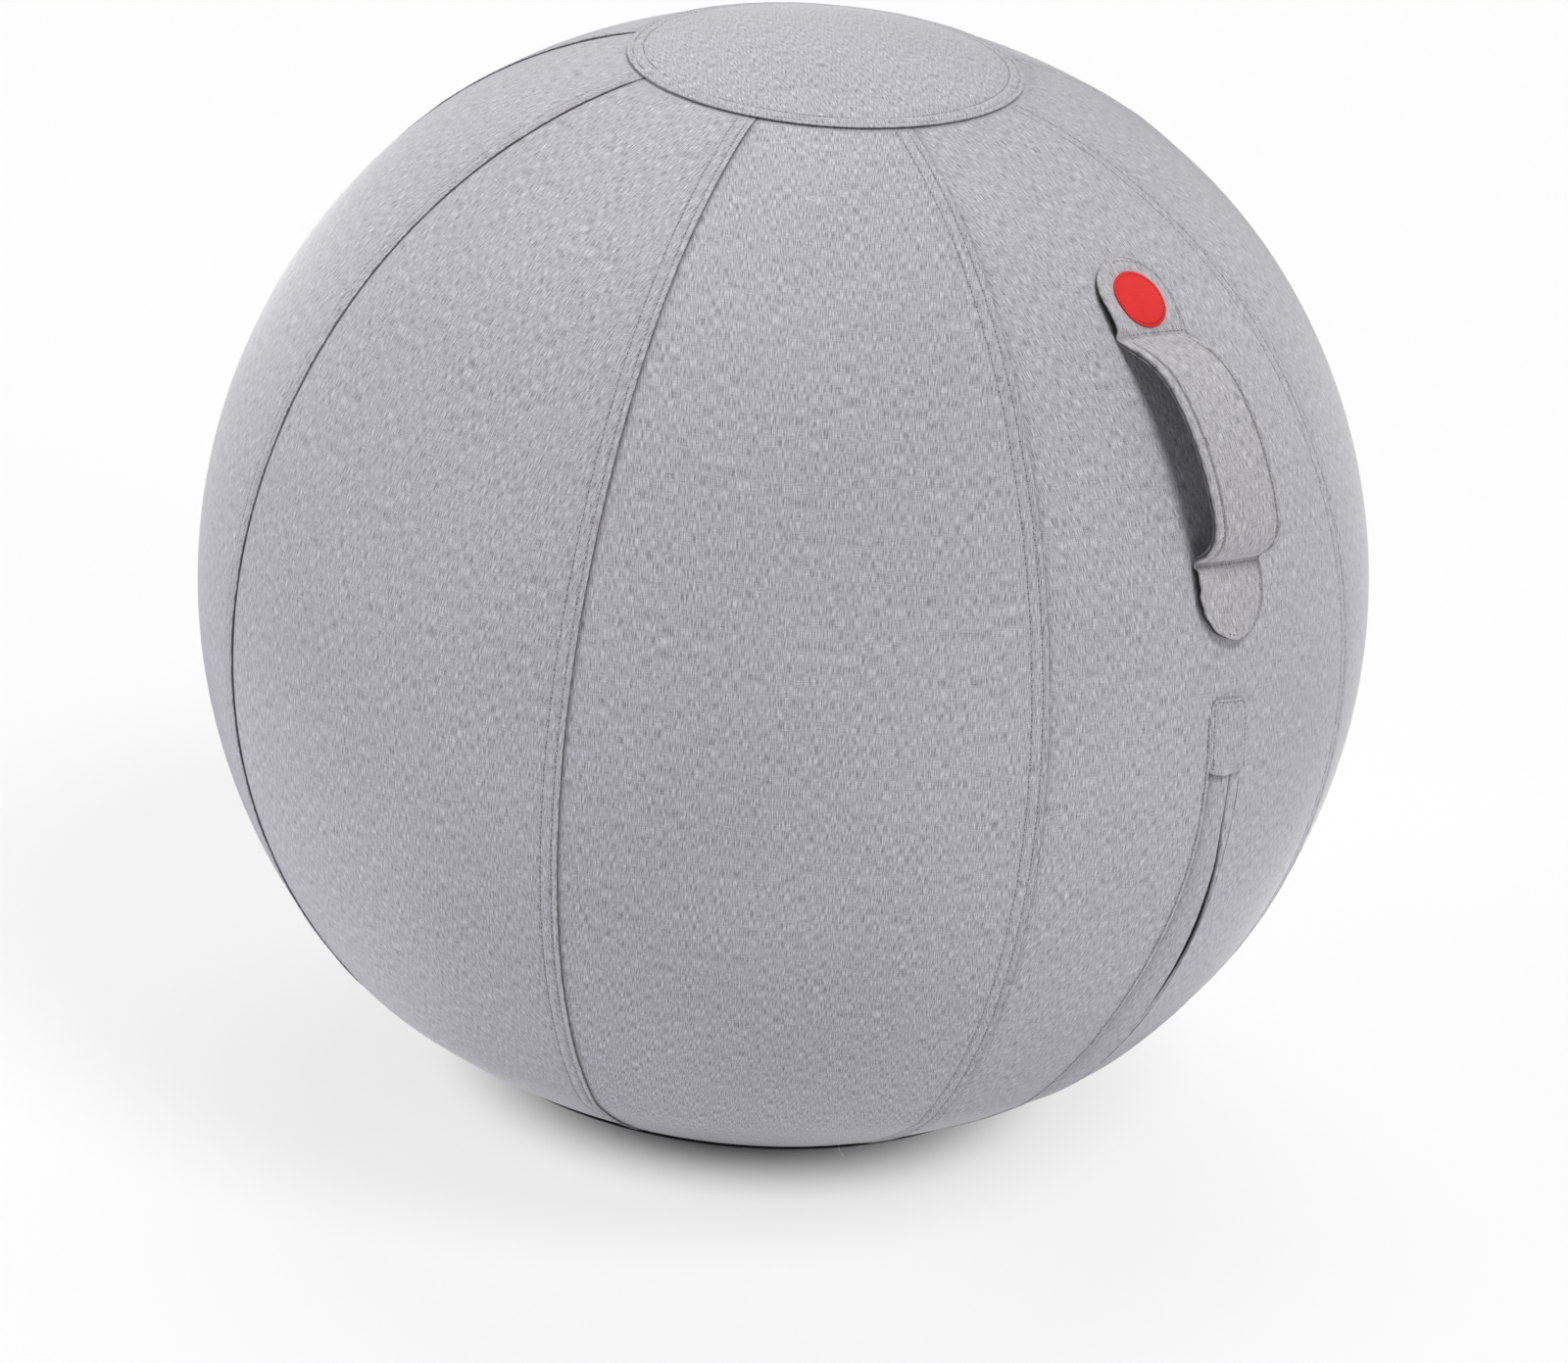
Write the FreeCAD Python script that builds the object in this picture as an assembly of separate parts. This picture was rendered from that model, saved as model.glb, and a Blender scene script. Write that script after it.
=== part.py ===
import FreeCAD, Part
import math
import os

from FreeCAD import Placement, Rotation, Vector

# A sitting ball in a sewn cover, in millimetres. +Z is up and the origin is the middle of the flat foot.
# The handle and the zip are on the gore that faces -Y. A depth is measured inwards from the cover's face.
# A tilt is the angle of the face from upright: 0 at the equator, 90 at the top and -90 at the foot.

# Outline of the ball, as tangent arcs from the foot to the top
EQUATOR_RADIUS = 325.0
SHOULDER_RADIUS = 290.0
BEND_RADIUS = 110.0
SKIRT_RADIUS = 450.0
BASE_RADIUS = 300.0
FOOT_EDGE_RADIUS = 30.0
SHOULDER_TILT = 35.0
CAP_TILT = 73.0
BEND_TILT = -41.0
SKIRT_TILT = -52.0
BASE_TILT = -62.5
FOOT_EDGE_TILT = -76.0

# Cover
GORE_COUNT = 8
FABRIC = 1.6
LAYER_GAP = 0.3
SEAM_GAP = 0.3
CAP_LAP = 12.0

# Handle: a padded strap sewn down at two stitch lines, standing off the cover between them
UPPER_STITCH_TILT = 43.0
LOWER_STITCH_TILT = 20.3
STRAP_WIDTH = 52.0
STRAP_THICKNESS = 4.0
STRAP_EDGE_ROUND = 1.2
UPPER_TAB_LENGTH = 46.0
LOWER_TAB_LENGTH = 43.0
TAB_THICKNESS = 3.2
UPPER_LEG = 12.5
UPPER_LEG_SLOPE = 52.0
UPPER_HAUNCH_RADIUS = 48.0
UPPER_CROWN_SLOPE = 12.0
LOWER_CROWN_SLOPE = 14.0
LOWER_HAUNCH_RADIUS = 22.0
LOWER_LEG_SLOPE = 86.0
UPPER_ROOT = 13.0
LOWER_ROOT = 8.0
ROOT_GAP = 0.4
CORE_WIDTH = 44.0
CORE_THICKNESS = 1.6
CORE_GAP = 0.2
BADGE_RADIUS = 17.0
BADGE_THICKNESS = 1.0

# Zip placket in the lower half of the front gore
ZIP_OFFSET = -9.5
PLACKET_LEFT = -23.5
PLACKET_RIGHT = 5.0
LIPS_MEET = -0.5
LIPS_GAP = 1.6
PLACKET_TOP_TILT = 6.5
GARAGE_TOP_TILT = 7.8
GARAGE_BOTTOM_TILT = 0.2
GARAGE_SIDE_LAP = 1.5
GARAGE_CORNER = 7.0
GARAGE_THICKNESS = 1.6

# Zip, its teeth closed and its slider parked behind the garage
SLIDER_TILT = 1.8
ZIP_END_TILT = -40.5
TAPE_OUTER_WIDTH = 17.0
TAPE_THICKNESS = 0.5
TAPE_PAST_PULL = 2.0
TOOTH_PITCH = 2.6
TOOTH_LENGTH = 1.1
TOOTH_REACH = 0.9
TOOTH_ROOT = 3.0
TOOTH_HEIGHT = 1.6
STOP_WIDTH = 2.4
STOP_LENGTH = 2.0
SLIDER_NOSE_WIDTH = 9.0
SLIDER_TAIL_WIDTH = 7.6
SLIDER_LENGTH = 13.0
PLATE_THICKNESS = 0.9
SLIDER_CLEARANCE = 0.35
FLANGE_THICKNESS = 0.7
BRIDGE_WIDTH = 2.4
BRIDGE_LENGTH = 3.0
EAR_THICKNESS = 0.8
EAR_INSIDE = 3.2
PIN_RADIUS = 0.45
PIN_CLEARANCE = 0.08
PULL_LENGTH = 16.0
PULL_WIDTH = 5.0
PULL_THICKNESS = 0.8
PULL_ROOM = 2.8
EAR_REACH = 1.4
EYE_WALL = 0.35
BACKING_CLEARANCE = 1.0

# Bladder and its valve
BLADDER_WALL = 0.9
BLADDER_GAP = 0.4
DENT_MARGIN = 1.5
VALVE_TILT = -8.0
VALVE_AZIMUTH = 15.0
VALVE_RADIUS = 15.0
VALVE_DEPTH = 5.0
VALVE_GAP = 0.2
BORE_RADIUS = 4.2
PLUG_HEAD_RADIUS = 8.0
PLUG_HEAD_THICKNESS = 1.4
PLUG_LENGTH = 14.0
PLUG_TIP_RADIUS = 3.4
PLUG_GAP = 0.1

AXIS_X = Vector(1, 0, 0)
AXIS_Z = Vector(0, 0, 1)
CENTRE = Vector(0, 0, 0)


def slope(tilt):
    """Outward direction at a tilt, in the half-plane of +X."""
    return Vector(math.cos(math.radians(tilt)), 0, math.sin(math.radians(tilt)))


def carry_on(centre, radius, next_radius, tilt):
    """Centre of the arc that goes on smoothly from another arc at a tilt."""
    return centre + slope(tilt) * (radius - next_radius)


SHOULDER = carry_on(CENTRE, EQUATOR_RADIUS, SHOULDER_RADIUS, SHOULDER_TILT)
CROWN_RADIUS = (SHOULDER + slope(CAP_TILT) * SHOULDER_RADIUS).x / slope(CAP_TILT).x
CROWN = carry_on(SHOULDER, SHOULDER_RADIUS, CROWN_RADIUS, CAP_TILT)
BEND = carry_on(CENTRE, EQUATOR_RADIUS, BEND_RADIUS, BEND_TILT)
SKIRT = carry_on(BEND, BEND_RADIUS, SKIRT_RADIUS, SKIRT_TILT)
BASE = carry_on(SKIRT, SKIRT_RADIUS, BASE_RADIUS, BASE_TILT)
FOOT = carry_on(BASE, BASE_RADIUS, FOOT_EDGE_RADIUS, FOOT_EDGE_TILT)
BALL_ARCS = [
    (FOOT, FOOT_EDGE_RADIUS, -90.0, FOOT_EDGE_TILT),
    (BASE, BASE_RADIUS, FOOT_EDGE_TILT, BASE_TILT),
    (SKIRT, SKIRT_RADIUS, BASE_TILT, SKIRT_TILT),
    (BEND, BEND_RADIUS, SKIRT_TILT, BEND_TILT),
    (CENTRE, EQUATOR_RADIUS, BEND_TILT, SHOULDER_TILT),
    (SHOULDER, SHOULDER_RADIUS, SHOULDER_TILT, CAP_TILT),
    (CROWN, CROWN_RADIUS, CAP_TILT, 90.0),
]
CENTRE_HEIGHT = FOOT_EDGE_RADIUS - FOOT.z
GORE_ANGLE = 360.0 / GORE_COUNT
WIDE = 3.0 * EQUATOR_RADIUS

# Depths of the zip's layers, from the placket's lips inwards
BACKING_TOP = FABRIC + LAYER_GAP
PULL_TOP = FABRIC + PULL_ROOM
EYE_RADIUS = PIN_RADIUS + PIN_CLEARANCE + EYE_WALL
PIN_DEPTH = PULL_TOP + PULL_THICKNESS / 2
PLATE_TOP = PIN_DEPTH + EYE_RADIUS + LAYER_GAP
TEETH_TOP = PLATE_TOP + PLATE_THICKNESS + SLIDER_CLEARANCE
TAPE_TOP = TEETH_TOP + (TOOTH_HEIGHT - TAPE_THICKNESS) / 2
LOWER_PLATE_TOP = TEETH_TOP + TOOTH_HEIGHT + SLIDER_CLEARANCE
SLIDER_BOTTOM = LOWER_PLATE_TOP + PLATE_THICKNESS
BLADDER_FACE = FABRIC + BLADDER_GAP
DENT_DEPTH = SLIDER_BOTTOM + LAYER_GAP
TEETH_MIDDLE_RADIUS = EQUATOR_RADIUS - TEETH_TOP - TOOTH_HEIGHT / 2
ZIP_AZIMUTH = math.degrees(math.asin(ZIP_OFFSET / TEETH_MIDDLE_RADIUS))

# Heights along the zip, from the middle of the parked slider
PIN_HEIGHT = SLIDER_LENGTH / 2 - EAR_REACH
BLADE_START = PIN_HEIGHT + EAR_REACH + LAYER_GAP
BLADE_END = BLADE_START + PULL_LENGTH
TAPE_END = BLADE_END + TAPE_PAST_PULL


def along_zip(length):
    """Tilt that goes with a length along the zip."""
    return math.degrees(length / EQUATOR_RADIUS)


def arc_edge(centre, radius, low, high):
    """Edge of a circle in the half-plane of +X, from one tilt to another."""
    points = [centre + slope(tilt) * radius for tilt in (low, (low + high) / 2, high)]
    return Part.Arc(*points).toShape()


def line(start, end):
    """Straight edge between two points."""
    return Part.LineSegment(start, end).toShape()


def outline(depth, low, high):
    """Edges of the ball's outline at a depth, between two tilts, reaching the axis at the foot."""
    edges = []
    if low <= -90.0:
        foot_start = FOOT + slope(-90.0) * (FOOT_EDGE_RADIUS - depth)
        edges.append(line(Vector(0, 0, foot_start.z), foot_start))
    for centre, radius, start, end in BALL_ARCS:
        first = max(low, start)
        last = min(high, end)
        if last > first:
            edges.append(arc_edge(centre, radius - depth, first, last))
    return edges


def joined_face(edges):
    """Flat face inside a ring of edges."""
    return Part.Face(Part.Wire(Part.__sortEdges__(edges)))


def band_face(top, bottom, low, high):
    """Face between two depths and two tilts, in the half-plane of +X."""
    outer = outline(top, low, high)
    inner = outline(bottom, low, high)
    start = line(outer[0].Vertexes[0].Point, inner[0].Vertexes[0].Point)
    end = line(outer[-1].Vertexes[-1].Point, inner[-1].Vertexes[-1].Point)
    return joined_face(outer + inner + [start, end])


def swept(face, azimuth, width):
    """Solid that a face sweeps about the ball's axis, centred on an azimuth from the front."""
    solid = face.revolve(CENTRE, AXIS_Z, width)
    solid.rotate(CENTRE, AXIS_Z, azimuth - 90.0 - width / 2)
    return solid


def inside(depth):
    """Whole ball under the cover's face, at a depth."""
    edges = outline(depth, -90.0, 90.0)
    axis = line(edges[-1].Vertexes[-1].Point, edges[0].Vertexes[0].Point)
    return swept(joined_face(edges + [axis]), 0.0, 360.0)


def slab(left, right):
    """Upright slab through the front of the ball, between two distances from its middle."""
    return Part.makeBox(right - left, WIDE, 2 * WIDE, Vector(left, -WIDE, -WIDE))


def strip(top, bottom, low, high, left, right):
    """Strip of the ball's front between two depths, two tilts and two distances from its middle."""
    return swept(band_face(top, bottom, low, high), 0.0, GORE_ANGLE).common(slab(left, right))


def front_frame(tilt):
    """Frame on the front of the cover at a tilt: x to the right, y up the cover and z outwards."""
    for centre, radius, start, end in BALL_ARCS:
        if start <= tilt <= end:
            point = centre + slope(tilt) * radius
            return Placement(Vector(0, -point.x, point.z), Rotation(AXIS_X, 90.0 - tilt))


def on_zip(shape, tilt):
    """Shape modelled about the front of the equator, moved along the zip to a tilt."""
    moved = shape.copy()
    moved.rotate(CENTRE, AXIS_Z, ZIP_AZIMUTH)
    moved.rotate(CENTRE, AXIS_X, -tilt)
    return moved


def zip_box(left, right, top, bottom, low, high):
    """Box about the front of the equator, given by its sides, its depths and its heights."""
    corner = Vector(left, top - EQUATOR_RADIUS, low)
    return Part.makeBox(right - left, bottom - top, high - low, corner)


def gores():
    """The eight gores of the cover. The front one has a slot for the placket."""
    names = ["front", "front_right", "right", "back_right", "back", "back_left", "left", "front_left"]
    face = band_face(0.0, FABRIC, BASE_TILT, cap_lap_tilt())
    width = GORE_ANGLE - math.degrees(SEAM_GAP / EQUATOR_RADIUS)
    pieces = {"gore_" + name: swept(face, index * GORE_ANGLE, width) for index, name in enumerate(names)}
    slot = strip(-FABRIC, 2 * FABRIC, BASE_TILT - 1.0, PLACKET_TOP_TILT, PLACKET_LEFT, PLACKET_RIGHT)
    pieces["gore_front"] = pieces["gore_front"].cut(slot)
    return pieces


def cap_lap_tilt():
    """Tilt up to which the gores run under the top cap."""
    return CAP_TILT + math.degrees(CAP_LAP / CROWN_RADIUS)


def ball_shell(centre, inner_radius, outer_radius):
    """Hollow ball between two radii, its poles to the sides."""
    outer = Part.makeSphere(outer_radius, centre, AXIS_X)
    return outer.cut(Part.makeSphere(inner_radius, centre, AXIS_X))


def top_cap():
    """Round cap, lapped over the upper ends of the gores."""
    face_radius = CROWN_RADIUS + LAYER_GAP
    cone = Part.makeCone(0, WIDE / math.tan(math.radians(CAP_TILT)), WIDE, CROWN)
    return ball_shell(CROWN, face_radius, face_radius + FABRIC).common(cone)


def base_cap():
    """Anti-slip base with a flat foot, sewn to the lower ends of the gores."""
    edge = BASE_TILT - math.degrees(SEAM_GAP / BASE_RADIUS)
    return swept(band_face(0.0, FABRIC, -90.0, edge), 0.0, 360.0)


def stadium(width, straight):
    """Flat tab outline: square at its foot, round at its tip, pointing along +Y."""
    half = width / 2
    foot_left = Vector(-half, 0, 0)
    foot_right = Vector(half, 0, 0)
    shoulder_left = Vector(-half, straight, 0)
    shoulder_right = Vector(half, straight, 0)
    tip = Vector(0, straight + half, 0)
    edges = [
        line(foot_left, foot_right),
        line(foot_right, shoulder_right),
        Part.Arc(shoulder_right, tip, shoulder_left).toShape(),
        line(shoulder_left, foot_left),
    ]
    return joined_face(edges)


def on_cover(face, frame, top, bottom):
    """Piece of a layer on the cover that lies under a flat outline placed by a frame."""
    prism = face.extrude(Vector(0, 0, EQUATOR_RADIUS))
    prism.translate(Vector(0, 0, -EQUATOR_RADIUS / 2))
    prism.Placement = frame.multiply(prism.Placement)
    return prism.common(swept(band_face(top, bottom, BEND_TILT, CAP_TILT), 0.0, 2 * GORE_ANGLE))


class Strap:
    """The handle's side view: straight legs, two haunches and a crown, worked out on its stitch lines.

    Its plane is x = 0. The run is measured along the chord from the upper stitch line to the lower one,
    and the rise outwards from that chord. The crown's radius and the lower leg follow from the others.
    """

    def __init__(self):
        self.upper = front_frame(UPPER_STITCH_TILT).Base
        self.lower = front_frame(LOWER_STITCH_TILT).Base
        chord = self.lower - self.upper
        self.length = chord.Length
        self.along = chord.normalize()
        self.outward = self.along.cross(AXIS_X)
        self.solve()

    def solve(self):
        """Finds the crown's radius and the lower leg that bring the strap down on the lower stitch line."""
        leg, crown_up, crown_down, end = [
            math.radians(angle)
            for angle in (UPPER_LEG_SLOPE, UPPER_CROWN_SLOPE, LOWER_CROWN_SLOPE, LOWER_LEG_SLOPE)
        ]
        run = UPPER_LEG * math.cos(leg) + UPPER_HAUNCH_RADIUS * (math.sin(leg) - math.sin(crown_up))
        run += LOWER_HAUNCH_RADIUS * (math.sin(end) - math.sin(crown_down))
        rise = UPPER_LEG * math.sin(leg) + UPPER_HAUNCH_RADIUS * (math.cos(crown_up) - math.cos(leg))
        rise -= LOWER_HAUNCH_RADIUS * (math.cos(crown_down) - math.cos(end))
        crown_run = math.sin(crown_up) + math.sin(crown_down)
        crown_rise = math.cos(crown_down) - math.cos(crown_up)
        determinant = -crown_run * math.sin(end) - math.cos(end) * crown_rise
        missing = self.length - run
        self.crown_radius = (-missing * math.sin(end) + rise * math.cos(end)) / determinant
        self.lower_leg = (-crown_run * rise - crown_rise * missing) / determinant

    def point(self, run, rise):
        """Place of a point of the side view in the model."""
        return self.upper + self.along * run + self.outward * rise

    def curve(self, depth, overrun):
        """Edges of the side view at a depth under the strap's face, its legs longer by an overrun."""
        turns = [
            (UPPER_LEG_SLOPE, UPPER_CROWN_SLOPE, UPPER_HAUNCH_RADIUS - depth),
            (UPPER_CROWN_SLOPE, -LOWER_CROWN_SLOPE, self.crown_radius - depth),
            (-LOWER_CROWN_SLOPE, -LOWER_LEG_SLOPE, LOWER_HAUNCH_RADIUS - depth),
        ]
        first = math.radians(UPPER_LEG_SLOPE)
        here = (depth * math.sin(first), -depth * math.cos(first))
        start = (here[0] - overrun * math.cos(first), here[1] - overrun * math.sin(first))
        here = (here[0] + UPPER_LEG * math.cos(first), here[1] + UPPER_LEG * math.sin(first))
        edges = [line(self.point(*start), self.point(*here))]
        for begin, finish, radius in turns:
            centre = self.turn(here, begin, -radius)
            middle = self.turn(centre, (begin + finish) / 2, radius)
            there = self.turn(centre, finish, radius)
            edges.append(Part.Arc(self.point(*here), self.point(*middle), self.point(*there)).toShape())
            here = there
        last = math.radians(LOWER_LEG_SLOPE)
        drop = self.lower_leg + overrun
        there = (here[0] + drop * math.cos(last), here[1] - drop * math.sin(last))
        edges.append(line(self.point(*here), self.point(*there)))
        return edges

    @staticmethod
    def turn(start, angle, radius):
        """Point at a radius from another one, square to a slope."""
        turned = math.radians(angle)
        return (start[0] - radius * math.sin(turned), start[1] + radius * math.cos(turned))

    def solid(self, top, bottom, width, overrun):
        """Strip between two depths under the strap's face, of a width."""
        outer = self.curve(top, overrun)
        inner = self.curve(bottom, overrun)
        start = line(outer[0].Vertexes[0].Point, inner[0].Vertexes[0].Point)
        end = line(outer[-1].Vertexes[-1].Point, inner[-1].Vertexes[-1].Point)
        face = joined_face(outer + inner + [start, end])
        face.translate(Vector(-width / 2, 0, 0))
        return face.extrude(Vector(width, 0, 0))

    def span(self, start, end):
        """Block that takes in the strap between two runs."""
        block = Part.makeBox(WIDE, WIDE, end - start, Vector(-WIDE / 2, -WIDE / 2, 0))
        block.Placement = Placement(self.point(start, 0), Rotation(AXIS_Z, self.along))
        return block


def rounded(solid, radius):
    """Strap solid with its long edges rounded over."""
    sides = [edge for edge in solid.Edges if abs(edge.BoundBox.XLength) < LAYER_GAP / 10]
    long_edges = [edge for edge in sides if edge.Length > STRAP_THICKNESS * 1.5]
    return solid.makeFillet(radius, long_edges)


def handle():
    """Handle: two sewn-down ends, the loop between them, its core and the badge on the upper end."""
    strap = Strap()
    upper_frame = front_frame(UPPER_STITCH_TILT)
    lower_frame = front_frame(LOWER_STITCH_TILT).multiply(Placement(CENTRE, Rotation(AXIS_Z, 180)))
    overrun = 2 * STRAP_THICKNESS
    end_radius = STRAP_WIDTH / 2
    whole = strap.solid(0.0, STRAP_THICKNESS, STRAP_WIDTH, overrun)
    whole = rounded(whole, STRAP_EDGE_ROUND).cut(inside(-LAYER_GAP))
    core_top = (STRAP_THICKNESS - CORE_THICKNESS) / 2
    core_bottom = core_top + CORE_THICKNESS
    core = strap.solid(core_top, core_bottom, CORE_WIDTH, 0.0)
    pocket = strap.solid(core_top - CORE_GAP, core_bottom + CORE_GAP, CORE_WIDTH + 2 * CORE_GAP, 0.0)
    loop_span = strap.span(UPPER_ROOT, strap.length - LOWER_ROOT)
    upper_span = strap.span(-UPPER_TAB_LENGTH, UPPER_ROOT - ROOT_GAP)
    lower_span = strap.span(strap.length - LOWER_ROOT + ROOT_GAP, strap.length + LOWER_TAB_LENGTH)
    tab_top = -LAYER_GAP - TAB_THICKNESS
    upper_tab = stadium(STRAP_WIDTH, UPPER_TAB_LENGTH - end_radius)
    lower_tab = stadium(STRAP_WIDTH, LOWER_TAB_LENGTH - end_radius)
    badge_turn = math.asin((UPPER_TAB_LENGTH - end_radius) / SHOULDER_RADIUS)
    badge_frame = front_frame(UPPER_STITCH_TILT + math.degrees(badge_turn))
    badge_inner = SHOULDER_RADIUS - tab_top + LAYER_GAP / 2
    badge_shell = ball_shell(CENTRE, badge_inner, badge_inner + BADGE_THICKNESS)
    badge = badge_shell.common(Part.makeCylinder(BADGE_RADIUS, WIDE))
    badge.Placement = badge_frame.multiply(Placement(Vector(0, 0, -SHOULDER_RADIUS), Rotation()))
    return {
        "handle_upper_end": on_cover(upper_tab, upper_frame, tab_top, -LAYER_GAP).fuse(whole.common(upper_span)),
        "handle_lower_end": on_cover(lower_tab, lower_frame, tab_top, -LAYER_GAP).fuse(whole.common(lower_span)),
        "handle_loop": whole.common(loop_span).cut(pocket),
        "handle_core": core.common(loop_span),
        "badge": badge,
    }


def placket():
    """Lips over the zip, the turned edges behind them that carry the tapes, and the garage at the top."""
    lips_top = PLACKET_TOP_TILT - along_zip(SEAM_GAP)
    left = PLACKET_LEFT + SEAM_GAP
    right = PLACKET_RIGHT - SEAM_GAP
    slider_side = SLIDER_NOSE_WIDTH / 2 + BACKING_CLEARANCE
    backing_bottom = TAPE_TOP - LAYER_GAP
    backing_top_tilt = SLIDER_TILT + along_zip(TAPE_END)
    backing = (BACKING_TOP, backing_bottom, ZIP_END_TILT, backing_top_tilt)
    far_left = ZIP_OFFSET - TAPE_OUTER_WIDTH
    far_right = ZIP_OFFSET + TAPE_OUTER_WIDTH
    return {
        "zip_fly": strip(0.0, FABRIC, BASE_TILT, lips_top, left, LIPS_MEET - LIPS_GAP / 2),
        "zip_lip": strip(0.0, FABRIC, BASE_TILT, lips_top, LIPS_MEET + LIPS_GAP / 2, right),
        "zip_backing_left": strip(*backing, far_left, ZIP_OFFSET - slider_side),
        "zip_backing_right": strip(*backing, ZIP_OFFSET + slider_side, far_right),
        "zip_garage": garage(),
    }


def garage():
    """Tab over the top of the zip, round at its upper corners and open at its lower edge."""
    height = along_cover(GARAGE_TOP_TILT - GARAGE_BOTTOM_TILT)
    width = PLACKET_RIGHT - PLACKET_LEFT + 2 * GARAGE_SIDE_LAP
    corner = Vector(PLACKET_LEFT - GARAGE_SIDE_LAP, 0, 0)
    outline_box = Part.makeBox(width, height, EQUATOR_RADIUS, corner)
    upper_corners = [
        edge for edge in outline_box.Edges
        if edge.BoundBox.ZLength > height and edge.BoundBox.YMin > height / 2
    ]
    prism = outline_box.makeFillet(GARAGE_CORNER, upper_corners)
    prism.translate(Vector(0, 0, -EQUATOR_RADIUS / 2))
    prism.Placement = front_frame(GARAGE_BOTTOM_TILT).multiply(prism.Placement)
    layer = band_face(-LAYER_GAP - GARAGE_THICKNESS, -LAYER_GAP, BEND_TILT, CAP_TILT)
    return prism.common(swept(layer, 0.0, GORE_ANGLE))


def along_cover(tilt):
    """Length along the round middle of the cover that goes with a change of tilt."""
    return math.radians(tilt) * EQUATOR_RADIUS


def zip_rows():
    """Tapes, the two rows of closed teeth, and the stops at both ends."""
    tape_top_tilt = SLIDER_TILT + along_zip(TAPE_END)
    tape = (TAPE_TOP, TAPE_TOP + TAPE_THICKNESS, ZIP_END_TILT, tape_top_tilt)
    tape_edge = TOOTH_ROOT + PIN_CLEARANCE
    teeth_bottom = TEETH_TOP + TOOTH_HEIGHT
    half_tooth = TOOTH_LENGTH / 2
    left_tooth = zip_box(-TOOTH_ROOT, TOOTH_REACH, TEETH_TOP, teeth_bottom, -half_tooth, half_tooth)
    right_tooth = zip_box(-TOOTH_REACH, TOOTH_ROOT, TEETH_TOP, teeth_bottom, -half_tooth, half_tooth)
    pitch = along_zip(TOOTH_PITCH)
    stop_length = along_zip(STOP_LENGTH + TOOTH_LENGTH)
    count = int((SLIDER_TILT - ZIP_END_TILT - stop_length) / pitch)
    first = SLIDER_TILT
    top_stop_tilt = SLIDER_TILT + along_zip(SLIDER_LENGTH / 2 + STOP_LENGTH)
    stop = (TEETH_TOP, teeth_bottom, -STOP_LENGTH / 2, STOP_LENGTH / 2)
    stop_left = on_zip(zip_box(-TOOTH_ROOT, STOP_WIDTH - TOOTH_ROOT, *stop), top_stop_tilt)
    stop_right = on_zip(zip_box(TOOTH_ROOT - STOP_WIDTH, TOOTH_ROOT, *stop), top_stop_tilt)
    bottom_stop = on_zip(zip_box(-TOOTH_ROOT, TOOTH_ROOT, *stop), ZIP_END_TILT + stop_length / 2)
    left_tilts = [first - index * pitch for index in range(count)]
    right_tilts = [first - (index + 0.5) * pitch for index in range(count)]
    return {
        "zip_tape_left": strip(*tape, ZIP_OFFSET - TAPE_OUTER_WIDTH, ZIP_OFFSET - tape_edge),
        "zip_tape_right": strip(*tape, ZIP_OFFSET + tape_edge, ZIP_OFFSET + TAPE_OUTER_WIDTH),
        "zip_teeth_left": Part.Compound([on_zip(left_tooth, tilt) for tilt in left_tilts]),
        "zip_teeth_right": Part.Compound([on_zip(right_tooth, tilt) for tilt in right_tilts]),
        "zip_top_stops": Part.Compound([stop_left, stop_right]),
        "zip_bottom_stop": bottom_stop,
    }


def plate(top):
    """One plate of the slider: narrow at its tail, wide and round at its nose."""
    half = SLIDER_LENGTH / 2
    nose = SLIDER_NOSE_WIDTH / 2
    tail = SLIDER_TAIL_WIDTH / 2
    level = top - EQUATOR_RADIUS
    widest = half - nose / 2
    tail_left = Vector(-tail, level, -half)
    tail_right = Vector(tail, level, -half)
    nose_left = Vector(-nose, level, widest)
    nose_right = Vector(nose, level, widest)
    edges = [
        line(tail_left, tail_right),
        line(tail_right, nose_right),
        Part.Arc(nose_right, Vector(0, level, half), nose_left).toShape(),
        line(nose_left, tail_left),
    ]
    return joined_face(edges).extrude(Vector(0, PLATE_THICKNESS, 0))


def slider():
    """Slider: two plates joined by a wedge, flanges that leave a way for the tapes, and two ears with a pin."""
    half = SLIDER_LENGTH / 2
    side = SLIDER_TAIL_WIDTH / 2
    tape_bottom = TAPE_TOP + TAPE_THICKNESS
    upper_flange = (PLATE_TOP + PLATE_THICKNESS, TAPE_TOP - LAYER_GAP, -half, 0.0)
    lower_flange = (tape_bottom + LAYER_GAP, LOWER_PLATE_TOP, -half, 0.0)
    ear_top = PIN_DEPTH - EAR_REACH
    ear = (ear_top, PLATE_TOP, PIN_HEIGHT - EAR_REACH, PIN_HEIGHT + EAR_REACH)
    ear_side = EAR_INSIDE / 2
    bridge_start = half - EAR_REACH - BRIDGE_LENGTH
    bridge = (PLATE_TOP, SLIDER_BOTTOM, bridge_start, bridge_start + BRIDGE_LENGTH)
    pin_start = Vector(-ear_side - EAR_THICKNESS, PIN_DEPTH - EQUATOR_RADIUS, PIN_HEIGHT)
    pieces = [
        plate(LOWER_PLATE_TOP),
        zip_box(-BRIDGE_WIDTH / 2, BRIDGE_WIDTH / 2, *bridge),
        zip_box(-ear_side - EAR_THICKNESS, -ear_side, *ear),
        zip_box(ear_side, ear_side + EAR_THICKNESS, *ear),
        Part.makeCylinder(PIN_RADIUS, EAR_INSIDE + 2 * EAR_THICKNESS, pin_start, AXIS_X),
    ]
    for flange in (upper_flange, lower_flange):
        pieces.append(zip_box(-side, FLANGE_THICKNESS - side, *flange))
        pieces.append(zip_box(side - FLANGE_THICKNESS, side, *flange))
    return on_zip(plate(PLATE_TOP).multiFuse(pieces).removeSplitter(), SLIDER_TILT)


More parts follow.
